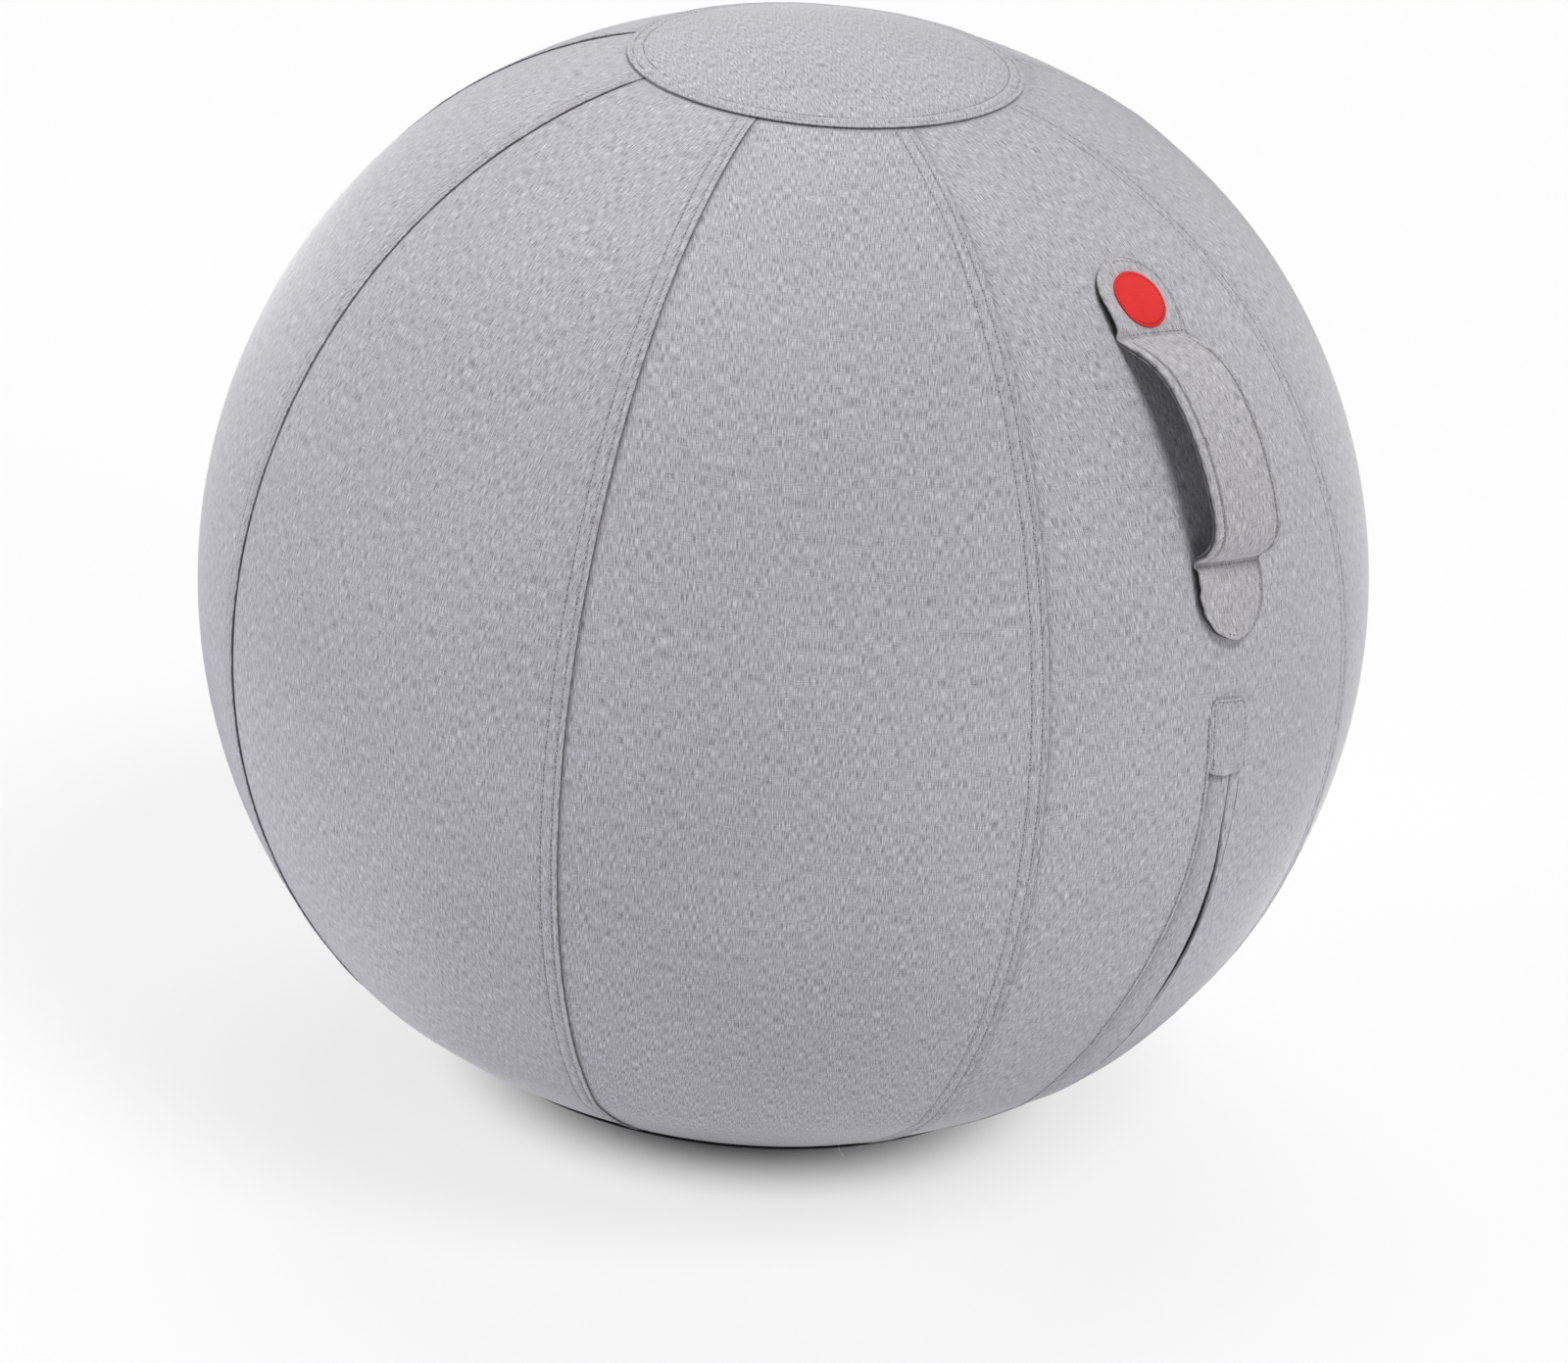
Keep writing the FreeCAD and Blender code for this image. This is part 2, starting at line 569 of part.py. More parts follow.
def pull():
    """Pull tab: a flat blade with a hole, and an eye round the slider's pin."""
    level = PULL_TOP - EQUATOR_RADIUS
    half = PULL_WIDTH / 2
    eye_width = EAR_INSIDE - 2 * LAYER_GAP
    blade = Part.makeBox(PULL_WIDTH, PULL_THICKNESS, PULL_LENGTH, Vector(-half, level, BLADE_START))
    blade = blade.makeFillet(half * 0.8, [
        edge for edge in blade.Edges
        if edge.BoundBox.YLength > PULL_THICKNESS / 2 and edge.BoundBox.ZMin > BLADE_END - PULL_THICKNESS
    ])
    neck = Part.makeBox(eye_width, PULL_THICKNESS, BLADE_START - PIN_HEIGHT, Vector(-eye_width / 2, level, PIN_HEIGHT))
    eye_start = Vector(-eye_width / 2, PIN_DEPTH - EQUATOR_RADIUS, PIN_HEIGHT)
    eye = Part.makeCylinder(EYE_RADIUS, eye_width, eye_start, AXIS_X)
    bore_start = eye_start - AXIS_X
    bore = Part.makeCylinder(PIN_RADIUS + PIN_CLEARANCE, eye_width + 2.0, bore_start, AXIS_X)
    hole_centre = Vector(0, level, BLADE_END - half)
    hole = Part.makeCylinder(half / 2, PULL_THICKNESS, hole_centre, Vector(0, 1, 0))
    tab = blade.multiFuse([neck, eye]).cut(bore).cut(hole).removeSplitter()
    return on_zip(tab, SLIDER_TILT)


def dent(margin):
    """Room behind the zip that the bladder gives way to, larger by a margin."""
    side = TAPE_OUTER_WIDTH + DENT_MARGIN + margin
    end = along_zip(DENT_MARGIN + margin)
    top_tilt = SLIDER_TILT + along_zip(TAPE_END) + end
    return strip(-FABRIC, DENT_DEPTH + margin, ZIP_END_TILT - end, top_tilt, ZIP_OFFSET - side, ZIP_OFFSET + side)


def on_valve(shape):
    """Shape modelled about the front of the equator, moved to the valve."""
    moved = shape.copy()
    moved.rotate(CENTRE, AXIS_X, -VALVE_TILT)
    moved.rotate(CENTRE, AXIS_Z, VALVE_AZIMUTH)
    return moved


def valve_round(profile):
    """Solid turned about the valve's axis from (radius, depth) corners."""
    corners = [Vector(radius, depth - EQUATOR_RADIUS, 0) for radius, depth in profile]
    face = Part.Face(Part.makePolygon(corners + [corners[0]]))
    return on_valve(face.revolve(CENTRE, Vector(0, 1, 0), 360))


def bladder():
    """Inflated bladder with its valve: a thin hollow ball that gives way behind the zip."""
    outer = inside(BLADDER_FACE).cut(dent(0.0))
    inner = inside(BLADDER_FACE + BLADDER_WALL).cut(dent(BLADDER_WALL))
    valve_face = BLADDER_FACE + BLADDER_GAP
    hole_radius = VALVE_RADIUS + VALVE_GAP
    hole = valve_round([(0, -FABRIC), (hole_radius, -FABRIC), (hole_radius, VALVE_DEPTH * 2), (0, VALVE_DEPTH * 2)])
    head_seat = valve_face + PLUG_HEAD_THICKNESS + PLUG_GAP
    head_bore = PLUG_HEAD_RADIUS + PLUG_GAP
    seat_bottom = valve_face + VALVE_DEPTH
    seat = [
        (head_bore, valve_face), (VALVE_RADIUS, valve_face), (VALVE_RADIUS, seat_bottom),
        (BORE_RADIUS, seat_bottom), (BORE_RADIUS, head_seat), (head_bore, head_seat),
    ]
    stem = BORE_RADIUS - PLUG_GAP
    head_bottom = valve_face + PLUG_HEAD_THICKNESS
    plug_end = valve_face + PLUG_LENGTH
    plug = [
        (0, valve_face), (PLUG_HEAD_RADIUS, valve_face), (PLUG_HEAD_RADIUS, head_bottom),
        (stem, head_bottom), (stem, seat_bottom), (PLUG_TIP_RADIUS, plug_end), (0, plug_end),
    ]
    return {
        "bladder": outer.cut(inner).cut(hole),
        "valve_seat": valve_round(seat),
        "valve_plug": valve_round(plug),
    }


def main():
    """Builds every piece, stands the ball on the origin and writes one file a piece."""
    pieces = gores()
    pieces["top_cap"] = top_cap()
    pieces["base_cap"] = base_cap()
    pieces.update(handle())
    pieces.update(placket())
    pieces.update(zip_rows())
    pieces["zip_slider"] = slider()
    pieces["zip_pull"] = pull()
    pieces.update(bladder())
    os.makedirs("parts", exist_ok=True)
    for name, shape in pieces.items():
        shape.translate(Vector(0, 0, CENTRE_HEIGHT))
        shape.exportStep("parts/" + name + ".step")
        print(name, len(shape.Solids), "solids, valid", shape.isValid(), "volume", round(shape.Volume, 1))
    print("centre height", round(CENTRE_HEIGHT, 3), "crown radius", round(CROWN_RADIUS, 2))


main()
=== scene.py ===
import logging
import math
from dataclasses import dataclass, field
from enum import Enum
from typing import Any, Callable, Dict, Iterable, List, Sequence, Tuple

import bmesh
import bpy
import numpy as np
from mathutils import Matrix, Vector, noise


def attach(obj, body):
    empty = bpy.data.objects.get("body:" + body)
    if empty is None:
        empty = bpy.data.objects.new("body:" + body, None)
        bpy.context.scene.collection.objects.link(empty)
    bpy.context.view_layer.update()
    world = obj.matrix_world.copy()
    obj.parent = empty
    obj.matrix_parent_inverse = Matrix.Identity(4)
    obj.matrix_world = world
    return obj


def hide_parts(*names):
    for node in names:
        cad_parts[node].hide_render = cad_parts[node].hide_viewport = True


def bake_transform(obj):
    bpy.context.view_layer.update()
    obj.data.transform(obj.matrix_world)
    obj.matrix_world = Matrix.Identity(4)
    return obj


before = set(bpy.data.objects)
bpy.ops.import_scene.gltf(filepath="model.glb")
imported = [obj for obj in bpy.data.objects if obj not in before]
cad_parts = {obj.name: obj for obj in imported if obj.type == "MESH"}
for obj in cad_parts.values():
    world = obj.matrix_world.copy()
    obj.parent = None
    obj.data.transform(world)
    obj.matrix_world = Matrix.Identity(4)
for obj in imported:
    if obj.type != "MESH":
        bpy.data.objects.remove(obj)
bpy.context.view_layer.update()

# A sitting ball in a sewn cover, in metres. +Z is up, the origin is the middle of the flat foot, and the handle
# and the zip are on the gore that faces -Y. A tilt is the angle of the cover's face from upright, in degrees: 0 at
# the equator, 90 at the crown and -90 at the foot. An azimuth is turned from the front towards +X, in degrees.

log = logging.getLogger("sitting_ball")

Material = bpy.types.Material
Piece = bpy.types.Object
Mesh = bmesh.types.BMesh
Edge = bmesh.types.BMEdge
Color = Tuple[float, float, float]
Spot = Tuple[Vector, Vector, Vector]

GORE_COUNT = 8
GORE_TURN = 360.0 / GORE_COUNT
CLOTH = 0.00035
WEAVE_MAP = "weave"
# Name of the vertex attribute of painted shade, which darkens the cloth's colour in creases, grooves, gaps and under
# edges.
SHADE = "shade"
COVER_BODY = "cover"
AXIS_X = Vector((1.0, 0.0, 0.0))
AXIS_Z = Vector((0.0, 0.0, 1.0))
SEAM_ROWS = (0.0031, 0.0093)
RUN_STEP = 0.004


class Slot(Enum):
    """Material slots of the record."""

    COVER = "cover"
    BASE = "base"
    STRAP = "strap"
    BADGE = "badge"
    PLACKET = "placket"


def smooth(value: float) -> float:
    """Eases a share from 0 to 1, flat at both ends."""
    share = min(1.0, max(0.0, value))
    return share * share * (3.0 - 2.0 * share)


def swell(distance: float, width: float) -> float:
    """Soft hump of height 1 round a place, of a width."""
    return math.exp(-((distance / width) ** 2))


def ripple(along: float, strand: float, pitch: float) -> float:
    """Uneven wave between about -1 and 1 along a line.

    Args:
        along: Length along the line.
        strand: A number that sets one line's wave apart from another's.
        pitch: Length of one wave.

    Returns:
        The wave's height.
    """
    return 2.0 * noise.noise(Vector((along / pitch, strand * 7.3, strand * 1.7)))


def around(point: Vector) -> float:
    """Azimuth of a point."""
    return math.degrees(math.atan2(point.x, -point.y))


@dataclass(frozen=True)
class Arc:
    """One arc of the ball's outline, in the half-plane through its axis."""

    out: float
    up: float
    radius: float
    low: float
    high: float


@dataclass
class Outline:
    """Side view of the inflated cover: arcs that run smoothly into each other from the foot to the crown.

    The crown's arc starts at cap_tilt. The cap's seam lies a little above it, at seam_tilt.
    """

    equator: float = 0.325
    shoulder: float = 0.290
    bend: float = 0.110
    skirt: float = 0.450
    base: float = 0.300
    foot_edge: float = 0.030
    shoulder_tilt: float = 35.0
    cap_tilt: float = 73.0
    seam_tilt: float = 74.0
    bend_tilt: float = -41.0
    skirt_tilt: float = -52.0
    base_tilt: float = -62.5
    foot_tilt: float = -76.0
    centre_height: float = field(init=False)
    chain: List[Arc] = field(init=False)

    def __post_init__(self) -> None:
        """Strings the arcs together from the equator upwards and downwards."""
        middle = (0.0, 0.0)
        shoulder = self.carry_on(middle, self.equator, self.shoulder, self.shoulder_tilt)
        edge = math.cos(math.radians(self.cap_tilt))
        crown_radius = (shoulder[0] + self.shoulder * edge) / edge
        crown = self.carry_on(shoulder, self.shoulder, crown_radius, self.cap_tilt)
        bend = self.carry_on(middle, self.equator, self.bend, self.bend_tilt)
        skirt = self.carry_on(bend, self.bend, self.skirt, self.skirt_tilt)
        base = self.carry_on(skirt, self.skirt, self.base, self.base_tilt)
        foot = self.carry_on(base, self.base, self.foot_edge, self.foot_tilt)
        self.centre_height = self.foot_edge - foot[1]
        rows = [
            (foot, self.foot_edge, -90.0, self.foot_tilt),
            (base, self.base, self.foot_tilt, self.base_tilt),
            (skirt, self.skirt, self.base_tilt, self.skirt_tilt),
            (bend, self.bend, self.skirt_tilt, self.bend_tilt),
            (middle, self.equator, self.bend_tilt, self.shoulder_tilt),
            (shoulder, self.shoulder, self.shoulder_tilt, self.cap_tilt),
            (crown, crown_radius, self.cap_tilt, 90.0),
        ]
        self.chain = [Arc(c[0], c[1] + self.centre_height, r, low, high) for c, r, low, high in rows]

    @staticmethod
    def carry_on(centre: Tuple[float, float], radius: float, onward: float, tilt: float) -> Tuple[float, float]:
        """Centre of the arc that goes on smoothly from another arc.

        Args:
            centre: Centre of the arc before it.
            radius: Radius of the arc before it.
            onward: Radius of the new arc.
            tilt: Where one runs into the other.

        Returns:
            The new arc's centre.
        """
        turn = math.radians(tilt)
        change = radius - onward
        return (centre[0] + change * math.cos(turn), centre[1] + change * math.sin(turn))

    def section(self, tilt: float, lift: float = 0.0) -> Tuple[float, float]:
        """Distance from the axis and height of a point of the outline.

        Args:
            tilt: Tilt of the point.
            lift: Distance out of the cover's face.

        Returns:
            Distance from the axis, and height.
        """
        arc = next((a for a in self.chain if tilt <= a.high), self.chain[-1])
        turn = math.radians(tilt)
        reach = arc.radius + lift
        return (arc.out + reach * math.cos(turn), arc.up + reach * math.sin(turn))

    def place(self, tilt: float, azimuth: float, lift: float = 0.0) -> Vector:
        """Point on the cover, or a lift away from it."""
        out, up = self.section(tilt, lift)
        turn = math.radians(azimuth)
        return Vector((out * math.sin(turn), -out * math.cos(turn), up))

    def place_beside(self, tilt: float, x: float, lift: float = 0.0) -> Vector:
        """Point on the front of the cover at a distance from its middle."""
        out, up = self.section(tilt, lift)
        return Vector((x, -math.sqrt(out * out - x * x), up))

    def tilt_at(self, up: float) -> float:
        """Tilt of the cover's face at a height."""
        for arc in self.chain:
            sine = (up - arc.up) / arc.radius
            if sine <= math.sin(math.radians(arc.high)) + 1e-9:
                return math.degrees(math.asin(max(-1.0, min(1.0, sine))))
        return 90.0

    def outward(self, tilt: float, azimuth: float) -> Vector:
        """Direction straight out of the cover."""
        level = math.cos(math.radians(tilt))
        turn = math.radians(azimuth)
        return Vector((level * math.sin(turn), -level * math.cos(turn), math.sin(math.radians(tilt))))

    def spacing(self, low: float, high: float, step: float) -> List[Tuple[Arc, float, float, int]]:
        """Arcs between two tilts, each with its part of them and the number of steps that it takes."""
        parts = []
        for arc in self.chain:
            first = max(low, arc.low)
            last = min(high, arc.high)
            if last > first:
                count = max(1, round(math.radians(last - first) * arc.radius / step))
                parts.append((arc, first, last, count))
        return parts

    def draw(self, bm: Mesh, low: float, high: float, step: float) -> None:
        """Draws the outline on the front by spinning a vertex round the centre of each arc in turn.

        Args:
            bm: An empty mesh.
            low: Tilt to start at.
            high: Tilt to end at.
            step: Spacing of the points.
        """
        bm.verts.new(self.place(low, 0.0))
        for arc, first, last, count in self.spacing(low, high, step):
            bm.verts.ensure_lookup_table()
            centre = (0.0, -arc.out, arc.up)
            angle = -math.radians(last - first)
            bmesh.ops.spin(bm, geom=[bm.verts[-1]], cent=centre, axis=AXIS_X, angle=angle, steps=count)

    def runs(self, low: float, high: float, step: float = RUN_STEP) -> Tuple[List[float], List[float]]:
        """Heights along the outline and the lengths run up to them, for laying out the weave."""
        heights = [self.section(low)[1]]
        lengths = [0.0]
        for arc, first, last, count in self.spacing(low, high, step):
            piece = math.radians(last - first) * arc.radius / count
            for k in range(count):
                heights.append(self.section(first + (last - first) * (k + 1) / count)[1])
                lengths.append(lengths[-1] + piece)
        return heights, lengths


class Board:
    """A material's nodes, with short ways to add and join them."""

    def __init__(self, name: str) -> None:
        """Starts a material with one shader."""
        self.material = bpy.data.materials.new(name)
        self.material.use_nodes = True
        self.tree = self.material.node_tree
        self.shader = self.tree.nodes["Principled BSDF"]

    def add(self, kind: str, inputs: Dict[Any, Any], **settings: Any) -> bpy.types.Node:
        """Adds a node.

        Args:
            kind: The node's type.
            inputs: Values or other nodes' outputs, by the input's name or number.
            settings: The node's own settings.

        Returns:
            The node.
        """
        node = self.tree.nodes.new(kind)
        for key, value in settings.items():
            setattr(node, key, value)
        for key, value in inputs.items():
            self.put(node.inputs[key], value)
        return node

    def put(self, socket: bpy.types.NodeSocket, value: Any) -> None:
        """Joins an output to a socket, or sets the socket's own value."""
        if isinstance(value, bpy.types.NodeSocket):
            self.tree.links.new(value, socket)
        else:
            socket.default_value = value

    def math(self, operation: str, *values: Any) -> bpy.types.NodeSocket:
        """Result of a sum of values or outputs."""
        return self.add("ShaderNodeMath", dict(enumerate(values)), operation=operation).outputs[0]

    def noise(self, vector: bpy.types.NodeSocket, scale: Sequence[float], detail: float) -> bpy.types.NodeSocket:
        """Cloudy pattern, stretched by a scale along each axis."""
        mapped = self.add("ShaderNodeMapping", {"Vector": vector, "Scale": tuple(scale)})
        inputs = {"Vector": mapped.outputs[0], "Scale": 1.0, "Detail": detail, "Roughness": 0.6}
        return self.add("ShaderNodeTexNoise", inputs).outputs[0]

    def ramp(self, factor: bpy.types.NodeSocket, stops: Sequence[Tuple[float, Color]]) -> bpy.types.NodeSocket:
        """Colours along a factor."""
        node = self.add("ShaderNodeValToRGB", {0: factor})
        elements = node.color_ramp.elements
        while len(elements) < len(stops):
            elements.new(0.5)
        for element, (position, colour) in zip(elements, stops):
            element.position = position
            element.color = (*colour, 1.0)
        return node.outputs[0]

    def relief(self, height: bpy.types.NodeSocket, distance: float, strength: float) -> None:
        """Raises the surface by a height."""
        node = self.add("ShaderNodeBump", {"Height": height, "Distance": distance, "Strength": strength})
        self.put(self.shader.inputs["Normal"], node.outputs[0])

    def surface(self, **values: Any) -> Material:
        """Sets the shader's inputs, named with _ for a space, and gives the material."""
        for key, value in values.items():
            self.put(self.shader.inputs[key.replace("_", " ")], value)
        return self.material


@dataclass(frozen=True)
class HeatherCloth:
    """Heathered woven cloth: pale and dark yarns in short streaks, more along the piece than across it, darkened
    towards near black by painted shade where the mesh's shade attribute is set.
    """

    name: str
    light: Color = (0.696, 0.687, 0.737)
    dark: Color = (0.249, 0.245, 0.269)
    yarn: float = 0.00034
    streak: float = 0.006
    turn: float = 0.0
    warp_share: float = 0.68
    weft_share: float = 0.24
    speck_share: float = 0.04
    cloud_share: float = 0.04
    softness: float = 0.115

    def make(self) -> Material:
        """Material with the streaks laid on the piece's own weave map, and painted shade mixed in."""
        board = Board(self.name)
        flat = board.add("ShaderNodeUVMap", {}, uv_map=WEAVE_MAP).outputs[0]
        spun = board.add("ShaderNodeMapping", {"Vector": flat, "Rotation": (0.0, 0.0, math.radians(self.turn))})
        weave = spun.outputs[0]
        fine = 1.0 / self.yarn
        long = 1.0 / self.streak
        warp = board.noise(weave, (fine, long, 1.0), 1.0)
        weft = board.noise(weave, (long, fine, 1.0), 1.0)
        speck = board.noise(weave, (fine, fine, 1.0), 0.0)
        cloud = board.noise(weave, (9.0, 9.0, 1.0), 2.0)
        mix = board.math("MULTIPLY_ADD", warp, self.warp_share, board.math("MULTIPLY", weft, self.weft_share))
        mix = board.math("MULTIPLY_ADD", speck, self.speck_share, mix)
        mix = board.math("MULTIPLY_ADD", cloud, self.cloud_share, mix)
        middle = tuple((a + b) / 2.0 for a, b in zip(self.light, self.dark))
        stops = [(0.5 - self.softness, self.dark), (0.5, middle), (0.5 + self.softness, self.light)]
        colour = board.ramp(mix, stops)
        # Painted shade: the shade attribute mixes the colour towards a near-black copy of the dark yarn.
        shade = board.add("ShaderNodeAttribute", {}, attribute_name=SHADE).outputs["Fac"]
        deep = (*(c * 0.12 for c in self.dark), 1.0)
        painted_shade_colour = board.add("ShaderNodeMix", {0: shade, 6: colour, 7: deep}, data_type="RGBA").outputs[2]
        board.relief(mix, 0.00015, 0.06)
        return board.surface(
            Base_Color=painted_shade_colour, Roughness=0.92, Sheen_Weight=0.7, Sheen_Roughness=0.35, Specular_IOR_Level=0.2
        )


@dataclass(frozen=True)
class PlainCloth:
    """Close-woven cloth or tape of one colour, with its yarns just showing."""

    name: str
    colour: Color
    yarn: float = 0.0005
    contrast: float = 0.25

    def make(self) -> Material:
        """Material with a fine twill in Object coordinates."""
        board = Board(self.name)
        place = board.add("ShaderNodeTexCoord", {}).outputs["Object"]
        fine = 1.0 / self.yarn
        grain = board.noise(place, (fine, fine, fine), 1.0)
        cloud = board.noise(place, (60.0, 60.0, 60.0), 2.0)
        mix = board.math("MULTIPLY_ADD", grain, 0.75, board.math("MULTIPLY", cloud, 0.25))
        pale = tuple(c * (1.0 + self.contrast) for c in self.colour)
        deep = tuple(c * (1.0 - self.contrast) for c in self.colour)
        colour = board.ramp(mix, [(0.3, deep), (0.7, pale)])
        board.relief(mix, 0.0002, 0.4)
        return board.surface(Base_Color=colour, Roughness=0.85, Sheen_Weight=0.15, Specular_IOR_Level=0.25)


@dataclass(frozen=True)
class Moulded:
    """Smooth moulded, coated or enamelled surface with a fine grain and a little unevenness."""

    name: str
    colour: Color
    roughness: float
    grain: float
    depth: float
    metallic: float = 0.0
    variation: float = 0.08

    def make(self) -> Material:
        """Material with its grain in Object coordinates."""
        board = Board(self.name)
        place = board.add("ShaderNodeTexCoord", {}).outputs["Object"]
        fine = 1.0 / self.grain
        grain = board.noise(place, (fine, fine, fine), 2.0)
        cloud = board.noise(place, (25.0, 25.0, 25.0), 3.0)
        pale = tuple(c * (1.0 + self.variation) for c in self.colour)
        deep = tuple(c * (1.0 - self.variation) for c in self.colour)
        colour = board.ramp(cloud, [(0.3, deep), (0.7, pale)])
        rough = board.math("MULTIPLY_ADD", grain, 0.12, self.roughness - 0.06)
        board.relief(grain, self.depth, 0.5)
        return board.surface(Base_Color=colour, Roughness=rough, Metallic=self.metallic)


@dataclass(frozen=True)
class PaleFloor:
    """Plain pale studio floor. The camera sees it whiten away from the object, as on a bright sweep of paper."""

    name: str = "pale_floor"
    colour: Color = (0.88, 0.872, 0.9)
    dark_reach: float = 0.105
    white_reach: float = 0.185
    whitened: float = 0.75

    def make(self) -> Material:
        """Material with a barely uneven tone."""
        board = Board(self.name)
        place = board.add("ShaderNodeTexCoord", {}).outputs["Object"]
        cloud = board.noise(place, (0.8, 0.8, 0.8), 2.0)
        pale = tuple(min(1.0, c * 1.01) for c in self.colour)
        colour = board.ramp(cloud, [(0.35, self.colour), (0.65, pale)])
        matt = board.add("ShaderNodeBsdfDiffuse", {"Color": colour, "Roughness": 0.0}).outputs[0]
        white = board.add("ShaderNodeEmission", {"Color": (1.0, 1.0, 1.0, 1.0), "Strength": 1.0}).outputs[0]
        away = board.add("ShaderNodeVectorMath", {0: place}, operation="LENGTH").outputs["Value"]
        reach = {"Value": away, "From Min": self.dark_reach, "From Max": self.white_reach, "To Max": self.whitened}
        fade = board.add("ShaderNodeMapRange", reach, interpolation_type="SMOOTHSTEP").outputs[0]
        path = board.add("ShaderNodeLightPath", {})
        seen = board.math("MAXIMUM", path.outputs["Is Camera Ray"], path.outputs["Is Glossy Ray"])
        seen = board.math("MAXIMUM", seen, path.outputs["Is Transmission Ray"])
        mixed = board.add("ShaderNodeMixShader", {0: board.math("MULTIPLY", fade, seen), 1: matt, 2: white})
        board.put(board.tree.nodes["Material Output"].inputs["Surface"], mixed.outputs[0])
        board.tree.nodes.remove(board.shader)
        return board.material


@dataclass(frozen=True)
class Finishes:
    """Every finish of the object, made once."""

    gore: Material
    cap: Material
    strap: Material
    placket: Material
    facing: Material
    base: Material
    badge: Material
    badge_thread: Material
    thread: Material
    pale_thread: Material
    needle: Material
    tape: Material
    teeth: Material
    enamel: Material
    vinyl: Material
    valve: Material

    @classmethod
    def mixed(cls) -> "Finishes":
        """All the finishes of this ball."""
        return cls(
            gore=HeatherCloth("heather_gore").make(),
            cap=HeatherCloth("heather_cap", turn=35.0).make(),
            strap=HeatherCloth("heather_strap", light=(0.695, 0.683, 0.717), dark=(0.252, 0.246, 0.263)).make(),
            # A slightly darker copy of the gore's cloth, as painted shade on the fly and the garage.
            placket=HeatherCloth("heather_placket_shaded", light=(0.672, 0.663, 0.71), dark=(0.238, 0.232, 0.255)).make(),
            # The facing is dark partly in its own colour and partly as painted shade for the gap between the zip's
            # lips.
            facing=PlainCloth("facing_cloth", (0.10, 0.10, 0.11)).make(),
            base=Moulded("anti_slip_coat", (0.035, 0.035, 0.04), 0.75, 0.0011, 0.0002).make(),
            badge=PlainCloth("badge_red", (0.79, 0.026, 0.026), yarn=0.00045, contrast=0.16).make(),
            badge_thread=PlainCloth("badge_thread", (0.22, 0.012, 0.012), yarn=0.0003).make(),
            thread=PlainCloth("grey_thread", (0.36, 0.355, 0.38), yarn=0.0003).make(),
            pale_thread=PlainCloth("pale_thread", (0.8, 0.79, 0.78), yarn=0.0003).make(),
            # Painted shade: near-black patches stand in for the shade in the needle holes.
            needle=PlainCloth("needle_hole_shade", (0.07, 0.07, 0.075), yarn=0.0003).make(),
            # Tape and teeth are dark partly in their own colour and partly as painted shade for the gap between the
            # zip's lips.
            tape=PlainCloth("zip_tape_weave", (0.06, 0.06, 0.065), yarn=0.0006).make(),
            teeth=Moulded("zip_teeth_moulded", (0.07, 0.07, 0.075), 0.4, 0.0006, 0.00003).make(),
            enamel=Moulded("zip_enamel", (0.28, 0.28, 0.29), 0.35, 0.0012, 0.00003, metallic=0.4).make(),
            vinyl=Moulded("bladder_vinyl", (0.34, 0.34, 0.36), 0.5, 0.0025, 0.00008).make(),
            valve=Moulded("valve_plastic", (0.8, 0.8, 0.77), 0.38, 0.002, 0.00004).make(),
        )


def make_piece(bm: Mesh, name: str, *finishes: Material) -> Piece:
    """Turns a finished mesh into an object of the scene.

    Args:
        bm: The mesh, which is freed.
        name: The piece's name.
        finishes: Its materials, in the order of the faces' numbers.

    Returns:
        The piece.
    """
    mesh = bpy.data.meshes.new(name)
    bm.to_mesh(mesh)
    bm.free()
    mesh.shade_smooth()
    for finish in finishes:
        mesh.materials.append(finish)
    piece = bpy.data.objects.new(name, mesh)
    bpy.context.scene.collection.objects.link(piece)
    return piece


def lay_weave(piece: Piece, spread: Callable[[np.ndarray], np.ndarray]) -> None:
    """Gives a piece a flat map of its cloth, in metres.

    Args:
        piece: The piece.
        spread: Turns the vertices' places into places on the flat cloth.
    """
    mesh = piece.data
    points = np.empty(len(mesh.vertices) * 3)
    mesh.vertices.foreach_get("co", points)
    flat = spread(points.reshape(-1, 3))
    corners = np.empty(len(mesh.loops), dtype=np.int32)
    mesh.loops.foreach_get("vertex_index", corners)
    layer = mesh.uv_layers.new(name=WEAVE_MAP)
    layer.data.foreach_set("uv", flat[corners].astype(np.float32).ravel())


def carry(piece: Piece, slot: Slot, *nodes: str) -> Piece:
    """Lets a piece ride on the cover, in place of some CAD nodes."""
    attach(piece, COVER_BODY)
    if nodes:
        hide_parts(*nodes)
    log.info("%s: %d faces", piece.name, len(piece.data.polygons))
    return piece


def turn_outwards(bm: Mesh, inner: Vector) -> None:
    """Makes the faces of an open sheet look away from a point inside the ball."""
    bmesh.ops.recalc_face_normals(bm, faces=bm.faces[:])
    score = sum(face.normal.dot(face.calc_center_median() - inner) * face.calc_area() for face in bm.faces)
    if score < 0.0:
        bmesh.ops.reverse_faces(bm, faces=bm.faces[:])


